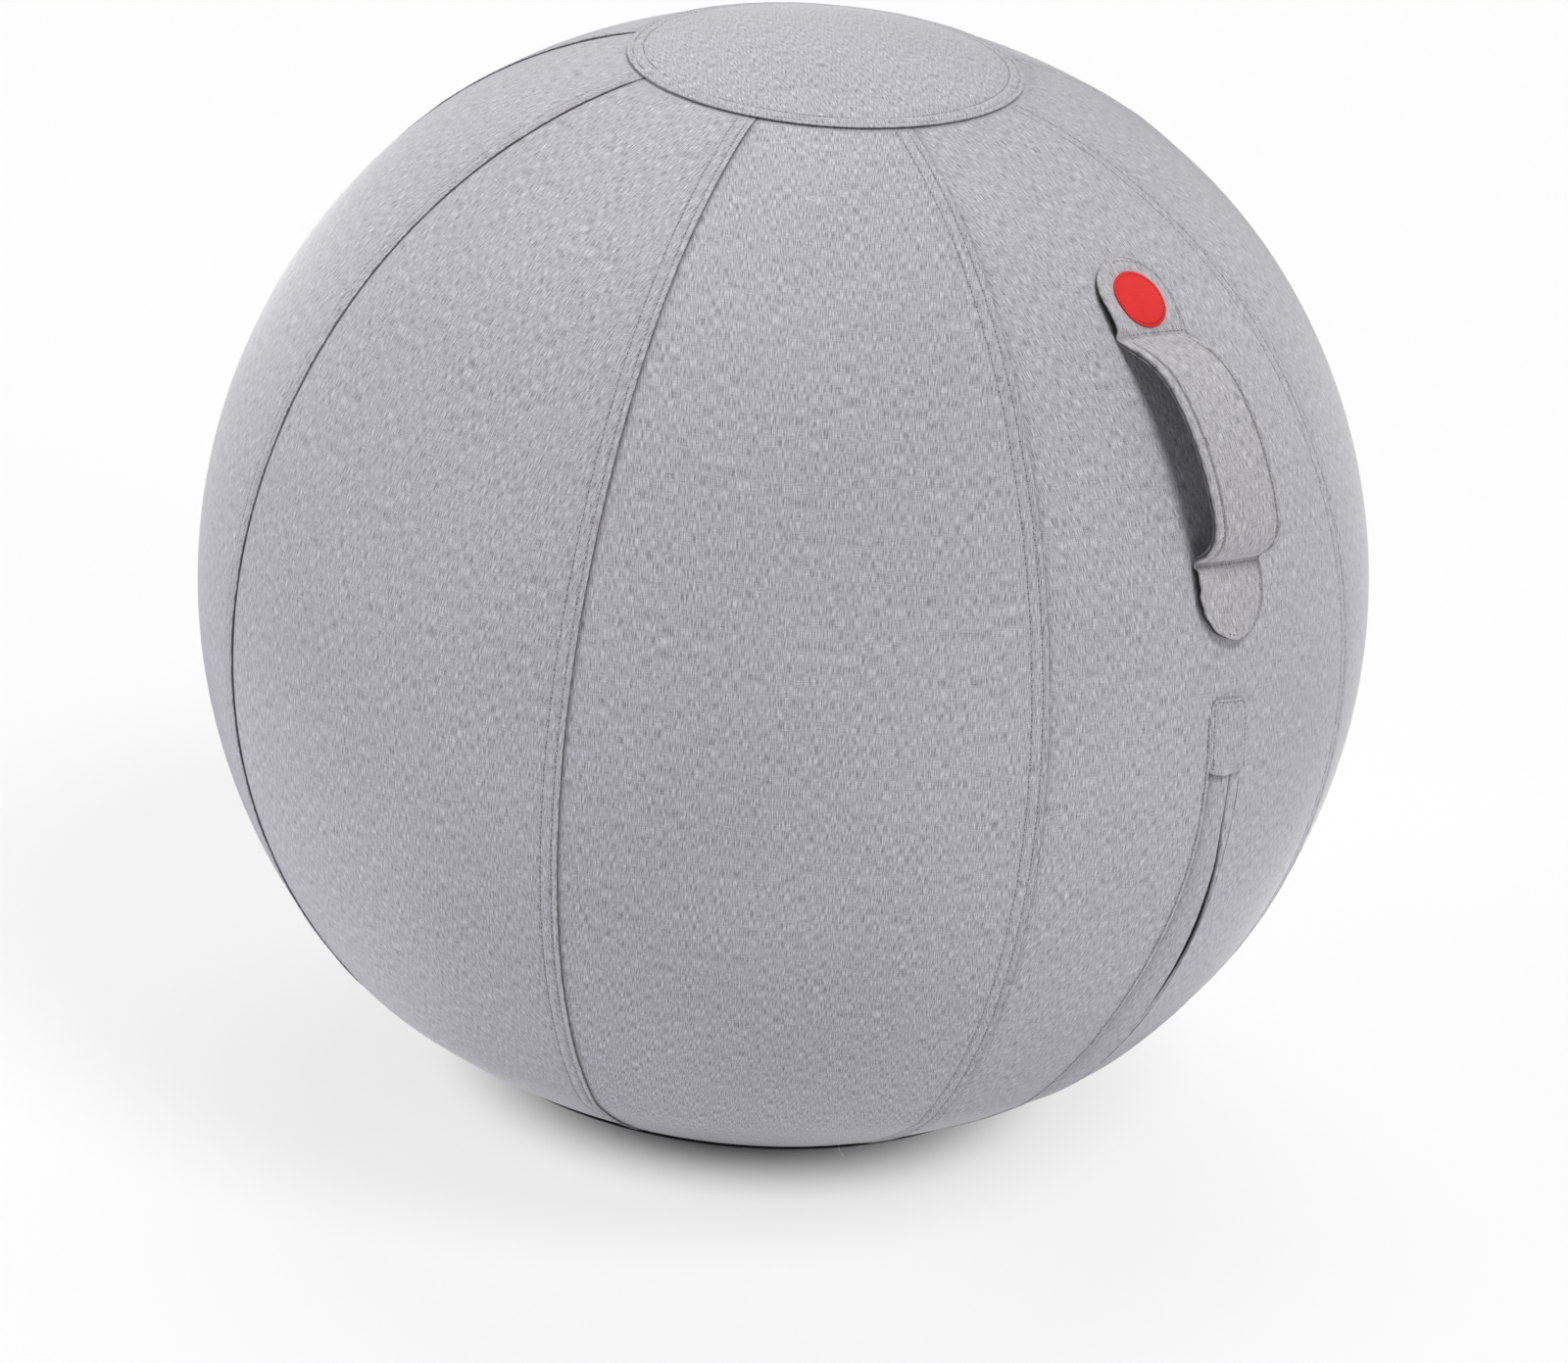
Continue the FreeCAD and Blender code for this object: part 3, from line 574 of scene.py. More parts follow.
@dataclass(frozen=True)
class Hem:
    """Folded border of a sheet: its nose is round, and the cloth runs back underneath. Painted shade darkens the fold
    step by step.
    """

    nose: float = 0.0002
    height: float = 0.0009
    back: float = 0.0015
    # dark scales the painted shade on the fold; shades holds the painted shade of each step.
    dark: float = 1.0
    shades: Tuple[float, ...] = (0.0, 0.1, 0.4, 0.8, 0.8)

    def steps(self) -> List[Tuple[float, float]]:
        """Places of the fold as (beyond the border, down) from the sheet's border."""
        return [
            (self.nose * 0.8, self.height * 0.2),
            (self.nose, self.height * 0.5),
            (self.nose * 0.7, self.height * 0.85),
            (-self.back * 0.15, self.height),
            (-self.back, self.height * 1.05),
        ]

    def turn_under(
        self,
        bm: Mesh,
        border: Iterable[Edge],
        beyond: Callable[[Vector], Vector],
        outward: Callable[[Vector], Vector],
    ) -> None:
        """Extrudes a border round its fold, and gives the fold's new vertices their painted shade.

        Args:
            bm: The sheet's mesh.
            border: The edges of the border.
            beyond: Direction out over the border at a point.
            outward: Direction out of the cloth's face at a point.
        """
        rim = list(border)
        shade = bm.verts.layers.float.get(SHADE) or bm.verts.layers.float.new(SHADE)
        before = (0.0, 0.0)
        for step, dark in zip(self.steps(), self.shades):
            grown = bmesh.ops.extrude_edge_only(bm, edges=rim)["geom"]
            fresh = {part for part in grown if isinstance(part, bmesh.types.BMVert)}
            rim = [e for e in grown if isinstance(e, Edge) and fresh.issuperset(e.verts)]
            for vert in fresh:
                here = vert.co.copy()
                vert.co = here + beyond(here) * (step[0] - before[0]) - outward(here) * (step[1] - before[1])
                vert[shade] = dark * self.dark
            before = step


@dataclass(frozen=True)
class Stitching:
    """Lockstitch: short lengths of thread that dip into a needle hole at each end, the hole drawn as a dark patch of
    painted shade.
    """

    pitch: float = 0.003
    length: float = 0.0021
    width: float = 0.00042
    height: float = 0.0003
    hole: float = 0.0013
    hole_width: float = 0.0008

    def pattern(self) -> bpy.types.Mesh:
        """Mesh of one stitch along X, with the needle hole's faces, a dark patch of painted shade, numbered 1."""
        bm = bmesh.new()
        thread = Matrix.Diagonal((self.length / 2, self.width / 2, self.height / 2, 1.0))
        bmesh.ops.create_icosphere(bm, subdivisions=1, radius=1.0, matrix=thread)
        dark = Matrix.Diagonal((self.hole / 2, self.hole_width / 2, self.height / 2, 1.0))
        end = Matrix.Translation((self.pitch / 2, 0.0, 0.0))
        pit = bmesh.ops.create_icosphere(bm, subdivisions=1, radius=1.0, matrix=end @ dark)
        for vert in pit["verts"]:
            for face in vert.link_faces:
                face.material_index = 1
        mesh = bpy.data.meshes.new("stitch")
        bm.to_mesh(mesh)
        bm.free()
        return mesh

    def sew(self, spots: Sequence[Spot]) -> Mesh:
        """Mesh of a run of stitches.

        Args:
            spots: Place, direction along the run and direction out of the cloth of each stitch.

        Returns:
            The mesh, with the needle holes' faces numbered 1.
        """
        pattern = self.pattern()
        whole = bmesh.new()
        for place, along, outward in spots:
            basis = Matrix((along, outward.cross(along), outward)).transposed().to_4x4()
            stitch = pattern.copy()
            stitch.transform(Matrix.Translation(place) @ basis)
            whole.from_mesh(stitch)
            bpy.data.meshes.remove(stitch)
        bpy.data.meshes.remove(pattern)
        return whole

    def run(self, path: Callable[[float], Vector], outward: Callable[[float], Vector], length: float) -> List[Spot]:
        """Spots of a run of stitches.

        Args:
            path: Place on the cloth at a length along the run.
            outward: Direction out of the cloth at a length along the run.
            length: The run's length.

        Returns:
            One spot a stitch.
        """
        spots = []
        for k in range(int(length / self.pitch)):
            here = (k + 0.5) * self.pitch
            ahead = path(here + self.pitch / 3) - path(here - self.pitch / 3)
            face = outward(here)
            along = (ahead - face * ahead.dot(face)).normalized()
            spots.append((path(here), along, face))
        return spots


def gather(meshes: Iterable[Mesh]) -> Mesh:
    """Several meshes in one."""
    whole = bmesh.new()
    for bm in meshes:
        scrap = bpy.data.meshes.new("scrap")
        bm.to_mesh(scrap)
        bm.free()
        whole.from_mesh(scrap)
        bpy.data.meshes.remove(scrap)
    return whole


@dataclass
class PlacketLayout:
    """Where the zip's placket lies in the front gore."""

    left: float = -0.0235
    right: float = 0.0065
    top_tilt: float = 6.3
    row: float = 0.0021
    gap_middle: float = -19.0
    gap_spread: float = 9.0

    def parting(self, tilt: float) -> float:
        """How far the lips part at a tilt."""
        return 0.0010 + 0.0044 * swell(tilt - self.gap_middle, self.gap_spread)

    def left_at(self, tilt: float) -> float:
        """Place across of the left edge, which runs outwards on its way down."""
        return -0.020 - 0.010 * smooth((-4.0 - tilt) / 26.0)

    def drawn(self, tilt: float) -> float:
        """How far the line where the lips meet is drawn aside at a tilt."""
        return -0.003 * smooth((tilt + 11.0) / 7.0)

    def tab_right(self, tilt: float) -> float:
        """Place across of the garage tab's right edge."""
        return 0.0092 - 0.00042 * tilt


@dataclass
class Gore:
    """One gore of the cover. It laps over the gore on its right and is tucked under the one on its left."""

    name: str
    number: int
    outline: Outline
    placket: PlacketLayout
    has_placket: bool = False
    margin: float = 0.020
    row: float = 0.0027
    cap_lap: float = 0.012
    hem: Hem = Hem()
    azimuth: float = field(init=False)

    def __post_init__(self) -> None:
        """Finds the gore's place round the ball."""
        self.azimuth = self.number * GORE_TURN

    def columns(self) -> List[Tuple[float, float]]:
        """Columns of the mesh as (share of the gore's width, shift), close together at the seams."""
        left = (
            -0.010, -0.005, -0.002, -0.0008, 0.0, 0.0008, 0.0016, 0.0025, 0.0035, 0.0048, 0.008, 0.013, self.margin,
        )
        right = (
            self.margin, 0.0165, 0.0135, 0.0115, 0.0101, 0.0093, 0.0085, 0.0075, 0.0064, 0.0053,
            0.0044, 0.0037, 0.0031, 0.0025, 0.0018, 0.001, 0.0004, 0.0,
        )
        count = 18
        middle = [k / count for k in range(1, count)]
        spread = [(share, self.margin * (1.0 - 2.0 * share)) for share in middle]
        return [(0.0, shift) for shift in left] + spread + [(1.0, -shift) for shift in right]

    def turn_of(self, tilt: float, from_right: float) -> float:
        """Azimuth of a line at a distance from the gore's right edge."""
        return self.azimuth + GORE_TURN / 2 - math.degrees(from_right / self.outline.section(tilt)[0])

    def distances(self, tilt: float, azimuth: float) -> Tuple[float, float, float]:
        """Distances of a place from the gore's left edge and its right edge, and across from the gore's middle."""
        out = self.outline.section(tilt)[0]
        turn = (azimuth - self.azimuth + 180.0) % 360.0 - 180.0
        half = GORE_TURN / 2
        return math.radians(turn + half) * out, math.radians(half - turn) * out, out * math.sin(math.radians(turn))

    def painted_shade(self, tilt: float, azimuth: float) -> float:
        """Painted shade on the cloth: along its stitches, in the crease beside its neighbour's hem, along the row
        beside the placket's slot and along the garage tab's right edge.
        """
        from_left, from_right, x = self.distances(tilt, azimuth)
        free = smooth((self.outline.seam_tilt + 0.4 - tilt) / 2.5)
        dark = 0.55 * swell(from_left, 0.0008) + 0.10 * swell(from_left - 0.001, 0.0025)
        dark += free * sum(0.16 * swell(from_right - row, 0.0007) for row in SEAM_ROWS)
        if self.has_placket and tilt < self.placket.top_tilt + 2.0:
            close = smooth((self.placket.top_tilt + 0.6 - tilt) / 0.5)
            dark += 0.5 * close * swell(self.placket.left_at(tilt) - x - self.placket.row, 0.0006)
            dark += 0.45 * close * smooth(tilt / 2.0) * swell(x - self.placket.tab_right(tilt) - 0.0006, 0.0007)
        return min(1.0, dark)

    def lift(self, tilt: float, azimuth: float) -> float:
        """Height of the cloth over the plain outline: sunk on the left, hemmed and stitched on the right."""
        from_left, from_right, x = self.distances(tilt, azimuth)
        along = math.radians(tilt) * self.outline.equator
        free = smooth((self.outline.seam_tilt + 0.4 - tilt) / 2.5)
        height = -0.0006 * (1.0 - smooth((from_left + 0.0005) / 0.0045))
        height += self.hemmed(from_right, SEAM_ROWS, along, self.number) * free
        if self.has_placket and tilt < self.placket.top_tilt + 2.0:
            close = smooth((self.placket.top_tilt + 1.0 - tilt) / 1.0)
            if x < (self.placket.left + self.placket.right) / 2:
                height += 0.9 * close * self.hemmed(self.placket.left_at(tilt) - x, (self.placket.row,), along, 11.0)
            else:
                height += 0.0003 * close * swell(x - self.placket.right, 0.003)
        return height

    @staticmethod
    def hemmed(distance: float, rows: Sequence[float], along: float, strand: float) -> float:
        """Relief of a hem at a distance from its edge: raised, pressed in along the rows and a little puckered."""
        if distance > 0.03:
            return 0.0
        height = 0.0008 * swell(distance, 0.0026)
        height += 0.00035 * swell(distance - sum(rows) / len(rows), 0.0022)
        for row in rows:
            height -= 0.00032 * swell(distance - row, 0.0008)
        pucker = ripple(along, strand, 0.009) * 0.6 + ripple(along, strand + 3.0, 0.023)
        return height + 0.00018 * pucker * swell(distance - 0.005, 0.008)

    def build(self, finish: Material) -> Piece:
        """Makes the gore.

        Args:
            finish: Its cloth.

        Returns:
            The piece.
        """
        outline = self.outline
        low = outline.base_tilt
        high = outline.seam_tilt + math.degrees(self.cap_lap / outline.chain[-1].radius)
        bm = bmesh.new()
        outline.draw(bm, low, high, self.row)
        columns = self.columns()
        steps = len(columns) - 1
        turn = math.radians(GORE_TURN)
        bmesh.ops.spin(
            bm, geom=bm.verts[:] + bm.edges[:], cent=(0, 0, 0), axis=AXIS_Z, angle=turn, steps=steps, use_merge=False
        )
        for vert in bm.verts:
            tilt = outline.tilt_at(vert.co.z)
            share, shift = columns[round(math.atan2(vert.co.x, -vert.co.y) / turn * steps)]
            out = math.hypot(vert.co.x, vert.co.y)
            swing = (share - 0.5) * GORE_TURN + math.degrees(shift / out)
            vert.co = outline.place(tilt, self.azimuth + swing)
        if self.has_placket:
            self.cut_slot(bm)
        turn_outwards(bm, Vector((0.0, 0.0, outline.centre_height)))
        borders = self.borders(bm, low)
        shade = bm.verts.layers.float.new(SHADE)
        for vert in bm.verts:
            tilt = outline.tilt_at(vert.co.z)
            azimuth = self.aside(tilt, vert.co) if self.has_placket else around(vert.co)
            vert.co = outline.place(tilt, azimuth, self.lift(tilt, azimuth))
            # Each vertex gets its painted shade.
            vert[shade] = self.painted_shade(tilt, azimuth)
        for edges, beyond, hem in borders:
            hem.turn_under(bm, edges, beyond, self.outward)
        bmesh.ops.recalc_face_normals(bm, faces=bm.faces[:])
        turn_outwards(bm, Vector((0.0, 0.0, outline.centre_height)))
        bmesh.ops.solidify(bm, geom=bm.faces[:], thickness=CLOTH)
        piece = make_piece(bm, "cloth_" + self.name, finish)
        lay_weave(piece, self.spread)
        return carry(piece, Slot.COVER, self.name)

    def aside(self, tilt: float, point: Vector) -> float:
        """Azimuth of a point once the cloth is drawn to the placket's slanting left edge."""
        x = point.x
        gap = x - self.placket.left
        near = smooth((gap + 0.06) / 0.06) if gap <= 0.0 else 1.0 - smooth(gap / 0.028)
        return around(self.outline.place_beside(tilt, x + near * (self.placket.left_at(tilt) - self.placket.left)))

    def outward(self, point: Vector) -> Vector:
        """Direction out of the cover at a point."""
        return self.outline.outward(self.outline.tilt_at(point.z), around(point))

    def cut_slot(self, bm: Mesh) -> None:
        """Cuts the slot for the placket, with lines beside it for its hems."""
        slot = self.placket
        top = self.outline.section(slot.top_tilt)[1]
        beside = (0.0, 0.0005, 0.0011, 0.0017, 0.0022, 0.0028, 0.0038, 0.0055, 0.009)
        lines = [slot.left - gap for gap in beside] + [slot.right + gap for gap in (*beside, 0.0015, 0.0019)]
        for x in lines:
            self.slice(bm, Vector((x, 0.0, 0.0)), AXIS_X)
        self.slice(bm, Vector((0.0, 0.0, top)), AXIS_Z)
        gone = []
        for face in bm.faces:
            middle = face.calc_center_median()
            if slot.left < middle.x < slot.right and middle.z < top:
                gone.append(face)
        bmesh.ops.delete(bm, geom=gone, context="FACES")

    @staticmethod
    def slice(bm: Mesh, point: Vector, normal: Vector) -> None:
        """Cuts a mesh along a plane and keeps both sides."""
        geom = bm.verts[:] + bm.edges[:] + bm.faces[:]
        bmesh.ops.bisect_plane(bm, geom=geom, dist=1e-7, plane_co=point, plane_no=normal)

    def borders(self, bm: Mesh, low: float) -> List[Tuple[List[Edge], Callable, Hem]]:
        """Borders that are hemmed, each with the direction out over it and its hem."""
        limit = self.azimuth + GORE_TURN / 2
        floor = self.outline.section(low)[1]
        top = self.outline.section(self.placket.top_tilt)[1]
        seam, foot, slot_left, slot_right = [], [], [], []
        for edge in bm.edges:
            if not edge.is_boundary:
                continue
            ends = [vert.co for vert in edge.verts]
            if all(abs((around(p) - limit + 180.0) % 360.0 - 180.0) < 1e-3 for p in ends):
                seam.append(edge)
            elif all(abs(p.z - floor) < 1e-6 for p in ends):
                foot.append(edge)
            elif self.has_placket and all(abs(p.x - self.placket.left) < 1e-6 and p.z < top + 1e-6 for p in ends):
                slot_left.append(edge)
            elif self.has_placket and all(abs(p.x - self.placket.right) < 1e-6 and p.z < top + 1e-6 for p in ends):
                slot_right.append(edge)
        rows = [(seam, self.eastward, self.hem), (foot, self.downward, self.hem)]
        if self.has_placket:
            # A low hem on the slot's right edge, with no painted shade.
            flat = Hem(height=0.0006, dark=0.0)
            rows += [(slot_left, lambda p: AXIS_X, self.hem), (slot_right, lambda p: -AXIS_X, flat)]
        return rows

    def eastward(self, point: Vector) -> Vector:
        """Level direction towards greater azimuths at a point."""
        turn = math.radians(around(point))
        return Vector((math.cos(turn), math.sin(turn), 0.0))

    def downward(self, point: Vector) -> Vector:
        """Direction down along the cover at a point."""
        return self.eastward(point).cross(-self.outward(point))

    def spread(self, points: np.ndarray) -> np.ndarray:
        """Places of points on the gore laid flat, apart from those of the other gores."""
        heights, lengths = self.outline.runs(-90.0, 90.0)
        turn = np.arctan2(points[:, 0], -points[:, 1]) - math.radians(self.azimuth)
        turn = (turn + math.pi) % (2.0 * math.pi) - math.pi
        across = turn * np.hypot(points[:, 0], points[:, 1]) + 1.3 * self.number
        return np.stack([across, np.interp(points[:, 2], heights, lengths)], axis=1)

    def stitch(self, stitching: Stitching, thread: Material, needle: Material) -> Piece:
        """Sews the two rows along the gore's right edge, and the row beside the placket where it has one.

        Args:
            stitching: The stitches.
            thread: Finish of the thread.
            needle: Painted shade of the needle holes.

        Returns:
            The piece.
        """
        low = self.outline.base_tilt + 0.6
        seam = self.outline.seam_tilt - 0.3
        rows = [
            self.sew_row(stitching, low, seam, lambda tilt, offset=offset: self.turn_of(tilt, offset))
            for offset in SEAM_ROWS
        ]
        if self.has_placket:
            rows.append(self.sew_row(stitching, low, self.placket.top_tilt, self.slot_turn))
        piece = make_piece(gather(rows), "stitches_" + self.name, thread, needle)
        return carry(piece, Slot.COVER)

    def slot_turn(self, tilt: float) -> float:
        """Azimuth of the row beside the placket at a tilt."""
        return around(self.outline.place_beside(tilt, self.placket.left_at(tilt) - self.placket.row))

    def sew_row(
        self, stitching: Stitching, low: float, high: float, turn_at: Callable[[float], float]
    ) -> Mesh:
        """Sews one row up the gore.

        Args:
            stitching: The stitches.
            low: Tilt to start at.
            high: Tilt to end at.
            turn_at: The row's azimuth at a tilt.

        Returns:
            The row's mesh.
        """
        heights, lengths = self.outline.runs(low, high)

        def path(length: float) -> Vector:
            """Place on the row."""
            tilt = self.outline.tilt_at(float(np.interp(length, lengths, heights)))
            azimuth = turn_at(tilt)
            return self.outline.place(tilt, azimuth, self.lift(tilt, azimuth))

        return stitching.sew(stitching.run(path, lambda length: self.outward(path(length)), lengths[-1]))


@dataclass
class TopCap:
    """Round cap, hemmed and lapped over the upper ends of the gores."""

    outline: Outline
    lift: float = 0.0013
    segments: int = 168
    row: float = 0.0011
    hem: Hem = Hem()
    rows: Tuple[float, float] = (0.0029, 0.0088)

    def relief(self, tilt: float, azimuth: float) -> float:
        """Height of the cap's cloth over the plain outline."""
        radius = self.outline.chain[-1].radius
        from_edge = math.radians(tilt - self.outline.seam_tilt) * radius
        along = math.radians(azimuth) * self.outline.section(self.outline.seam_tilt)[0]
        return self.lift + 0.7 * Gore.hemmed(from_edge, self.rows, along, 21.0)

    def build(self, finish: Material) -> Piece:
        """Makes the cap.

        Args:
            finish: Its cloth.

        Returns:
            The piece.
        """
        outline = self.outline
        bm = bmesh.new()
        outline.draw(bm, outline.seam_tilt, 90.0, self.row)
        bmesh.ops.spin(
            bm, geom=bm.verts[:] + bm.edges[:], cent=(0, 0, 0), axis=AXIS_Z, angle=math.tau,
            steps=self.segments, use_merge=True,
        )
        bmesh.ops.remove_doubles(bm, verts=bm.verts[:], dist=1e-6)
        inner = Vector((0.0, 0.0, outline.centre_height))
        turn_outwards(bm, inner)
        rim = [edge for edge in bm.edges if edge.is_boundary]
        shade = bm.verts.layers.float.new(SHADE)
        for vert in bm.verts:
            tilt = outline.tilt_at(vert.co.z)
            azimuth = around(vert.co)
            vert.co = outline.place(tilt, azimuth, self.relief(tilt, azimuth))
            from_edge = math.radians(tilt - outline.seam_tilt) * outline.chain[-1].radius
            # Painted shade along the two rows of stitches.
            vert[shade] = sum(0.12 * swell(from_edge - row, 0.0008) for row in self.rows)
        self.hem.turn_under(bm, rim, self.beyond, self.outward)
        turn_outwards(bm, inner)
        bmesh.ops.solidify(bm, geom=bm.faces[:], thickness=CLOTH)
        piece = make_piece(bm, "cloth_top_cap", finish)
        lay_weave(piece, lambda points: points[:, :2] + 20.0)
        return carry(piece, Slot.COVER, "top_cap")

    def outward(self, point: Vector) -> Vector:
        """Direction out of the cap at a point."""
        azimuth = around(point)
        return self.outline.outward(max(self.outline.seam_tilt, self.outline.tilt_at(point.z)), azimuth)

    def beyond(self, point: Vector) -> Vector:
        """Direction out over the cap's edge at a point."""
        turn = math.atan2(point.x, -point.y)
        drop = math.radians(self.outline.seam_tilt)
        return Vector((math.sin(turn) * math.sin(drop), -math.cos(turn) * math.sin(drop), -math.cos(drop)))

    def stitch(self, stitching: Stitching, thread: Material, needle: Material) -> Piece:
        """Sews the two rows round the cap's edge."""
        rows = []
        radius = self.outline.chain[-1].radius
        for offset in self.rows:
            tilt = self.outline.seam_tilt + math.degrees(offset / radius)
            out = self.outline.section(tilt)[0]

            def path(length: float, tilt: float = tilt, out: float = out) -> Vector:
                """Place on the row."""
                azimuth = math.degrees(length / out)
                return self.outline.place(tilt, azimuth, self.relief(tilt, azimuth))

            def face(length: float, tilt: float = tilt, out: float = out) -> Vector:
                """Direction out of the cap on the row."""
                return self.outline.outward(tilt, math.degrees(length / out))

            rows.append(stitching.sew(stitching.run(path, face, math.tau * out)))
        return carry(make_piece(gather(rows), "stitches_top_cap", thread, needle), Slot.COVER)


@dataclass
class LooseThread:
    """End of a thread left hanging at the cover's lower edge."""

    outline: Outline
    name: str
    azimuth: float
    length: float
    curl: float
    radius: float = 0.00035

    def build(self, finish: Material) -> Piece:
        """Makes the thread: a thin round length that bends as it hangs."""
        bm = bmesh.new()
        bmesh.ops.create_cone(bm, cap_ends=True, segments=6, radius1=1.0, radius2=0.8, depth=1.0)
        upright = [edge for edge in bm.edges if abs(edge.verts[0].co.z - edge.verts[1].co.z) > 0.5]
        bmesh.ops.subdivide_edges(bm, edges=upright, cuts=7)
        tilt = self.outline.base_tilt
        start = self.outline.place(tilt, self.azimuth, 0.0002)
        outward = self.outline.outward(tilt, self.azimuth)
        turn = math.radians(self.azimuth)
        beside = Vector((math.cos(turn), math.sin(turn), 0.0))
        for vert in bm.verts:
            run = 0.5 - vert.co.z
            middle = start - AXIS_Z * self.length * run + outward * self.length * 0.5 * math.sin(2.0 * run)
            middle += beside * self.curl * run * run
            vert.co = middle + (beside * vert.co.x + outward * vert.co.y) * self.radius
        bmesh.ops.recalc_face_normals(bm, faces=bm.faces[:])
        return carry(make_piece(bm, self.name, finish), Slot.COVER)


@dataclass
class AntiSlipBase:
    """Coated base with a flat foot, its rim lapped over the lower ends of the gores."""

    outline: Outline
    segments: int = 144
    rim_tilt: float = -61.4
    row: float = 0.004

    def lift(self, tilt: float) -> float:
        """Height of the base's rim over the gores."""
        return 0.0016 * smooth((tilt - self.outline.base_tilt + 3.0) / 2.4)

    def build(self, finish: Material) -> Piece:
        """Makes the base.

        Args:
            finish: Its coated cloth.

        Returns:
            The piece.
        """
        outline = self.outline
        bm = bmesh.new()
        outline.draw(bm, -90.0, self.rim_tilt, self.row)
        bm.verts.ensure_lookup_table()
        foot = bm.verts[0]
        reach = -foot.co.y
        rings = 12
        for _ in range(rings):
            grown = bmesh.ops.extrude_vert_indiv(bm, verts=[foot])["verts"]
            foot = grown[0]
            foot.co.y += reach / rings
        bmesh.ops.spin(
            bm, geom=bm.verts[:] + bm.edges[:], cent=(0, 0, 0), axis=AXIS_Z, angle=math.tau,
            steps=self.segments, use_merge=True,
        )
        bmesh.ops.remove_doubles(bm, verts=bm.verts[:], dist=1e-6)
        turn_outwards(bm, Vector((0.0, 0.0, outline.centre_height)))
        for vert in bm.verts:
            tilt = outline.tilt_at(vert.co.z)
            if tilt > outline.foot_tilt:
                azimuth = around(vert.co)
                vert.co = outline.place(tilt, azimuth, self.lift(tilt))
        bmesh.ops.solidify(bm, geom=bm.faces[:], thickness=2.0 * CLOTH)
        piece = make_piece(bm, "coated_base", finish)
        lay_weave(piece, lambda points: points[:, :2])
        return carry(piece, Slot.BASE, "base_cap")


@dataclass
class FlatCut:
    """A piece cut from flat cloth: a rectangle, its corners rounded if need be, hemmed and then bent."""

    left: float
    right: float
    length: float
    step: float
    upper_corner: float = 0.0
    lower_corner: float = 0.0
    hem: Hem = Hem()

    def beyond(self, point: Vector) -> Vector:
        """Direction out over the border at a point beside it."""
        corner = self.upper_corner if point.y > self.length / 2 else self.lower_corner
        inner_x = min(self.right - corner, max(self.left + corner, point.x))
        inner_y = min(self.length - self.upper_corner, max(self.lower_corner, point.y))
        return Vector((point.x - inner_x, point.y - inner_y, 0.0)).normalized()

    def cut(self, hemmed: Callable[[Vector], Vector]) -> Mesh:
        """Cuts the cloth flat, with y up and z out of its face.

        Args:
            hemmed: Direction out over the border at a point of it, or no length where the border isn't hemmed.

        Returns:
            The flat, hemmed sheet.
        """
        bm = bmesh.new()
        half_width = (self.right - self.left) / 2
        middle = Vector(((self.left + self.right) / 2, self.length / 2, 0.0))
        size = Matrix.Diagonal((half_width, self.length / 2, 1.0, 1.0))
        bmesh.ops.create_grid(bm, x_segments=1, y_segments=1, size=1.0, matrix=Matrix.Translation(middle) @ size)
        upper = [vert for vert in bm.verts if vert.co.y > self.length / 2]
        lower = [vert for vert in bm.verts if vert.co.y < self.length / 2]
        for corners, radius in ((upper, self.upper_corner), (lower, self.lower_corner)):
            if radius > 0.0:
                bmesh.ops.bevel(
                    bm, geom=corners, offset=radius, affect="VERTICES", segments=8, profile=0.5, material=-1
                )
        flanks = (0.0006, 0.0014, 0.0022, 0.0034, 0.005)
        columns = round((self.right - self.left) / self.step)
        lines = [self.left + (self.right - self.left) * k / columns for k in range(1, columns)]
        lines += [self.left + gap for gap in flanks] + [self.right - gap for gap in flanks]
        rows = round(self.length / self.step)
        levels = [self.length * k / rows for k in range(1, rows)]
        levels += [gap for gap in flanks] + [self.length - gap for gap in flanks]
        for x in lines:
            Gore.slice(bm, Vector((x, 0.0, 0.0)), AXIS_X)
        for y in levels:
            Gore.slice(bm, Vector((0.0, y, 0.0)), Vector((0.0, 1.0, 0.0)))
        if bm.faces[:][0].normal.z < 0.0:
            bmesh.ops.reverse_faces(bm, faces=bm.faces[:])
        border = [edge for edge in bm.edges if edge.is_boundary]
        border = [edge for edge in border if all(hemmed(vert.co).length > 0.0 for vert in edge.verts)]
        self.hem.turn_under(bm, border, hemmed, lambda point: AXIS_Z)
        return bm


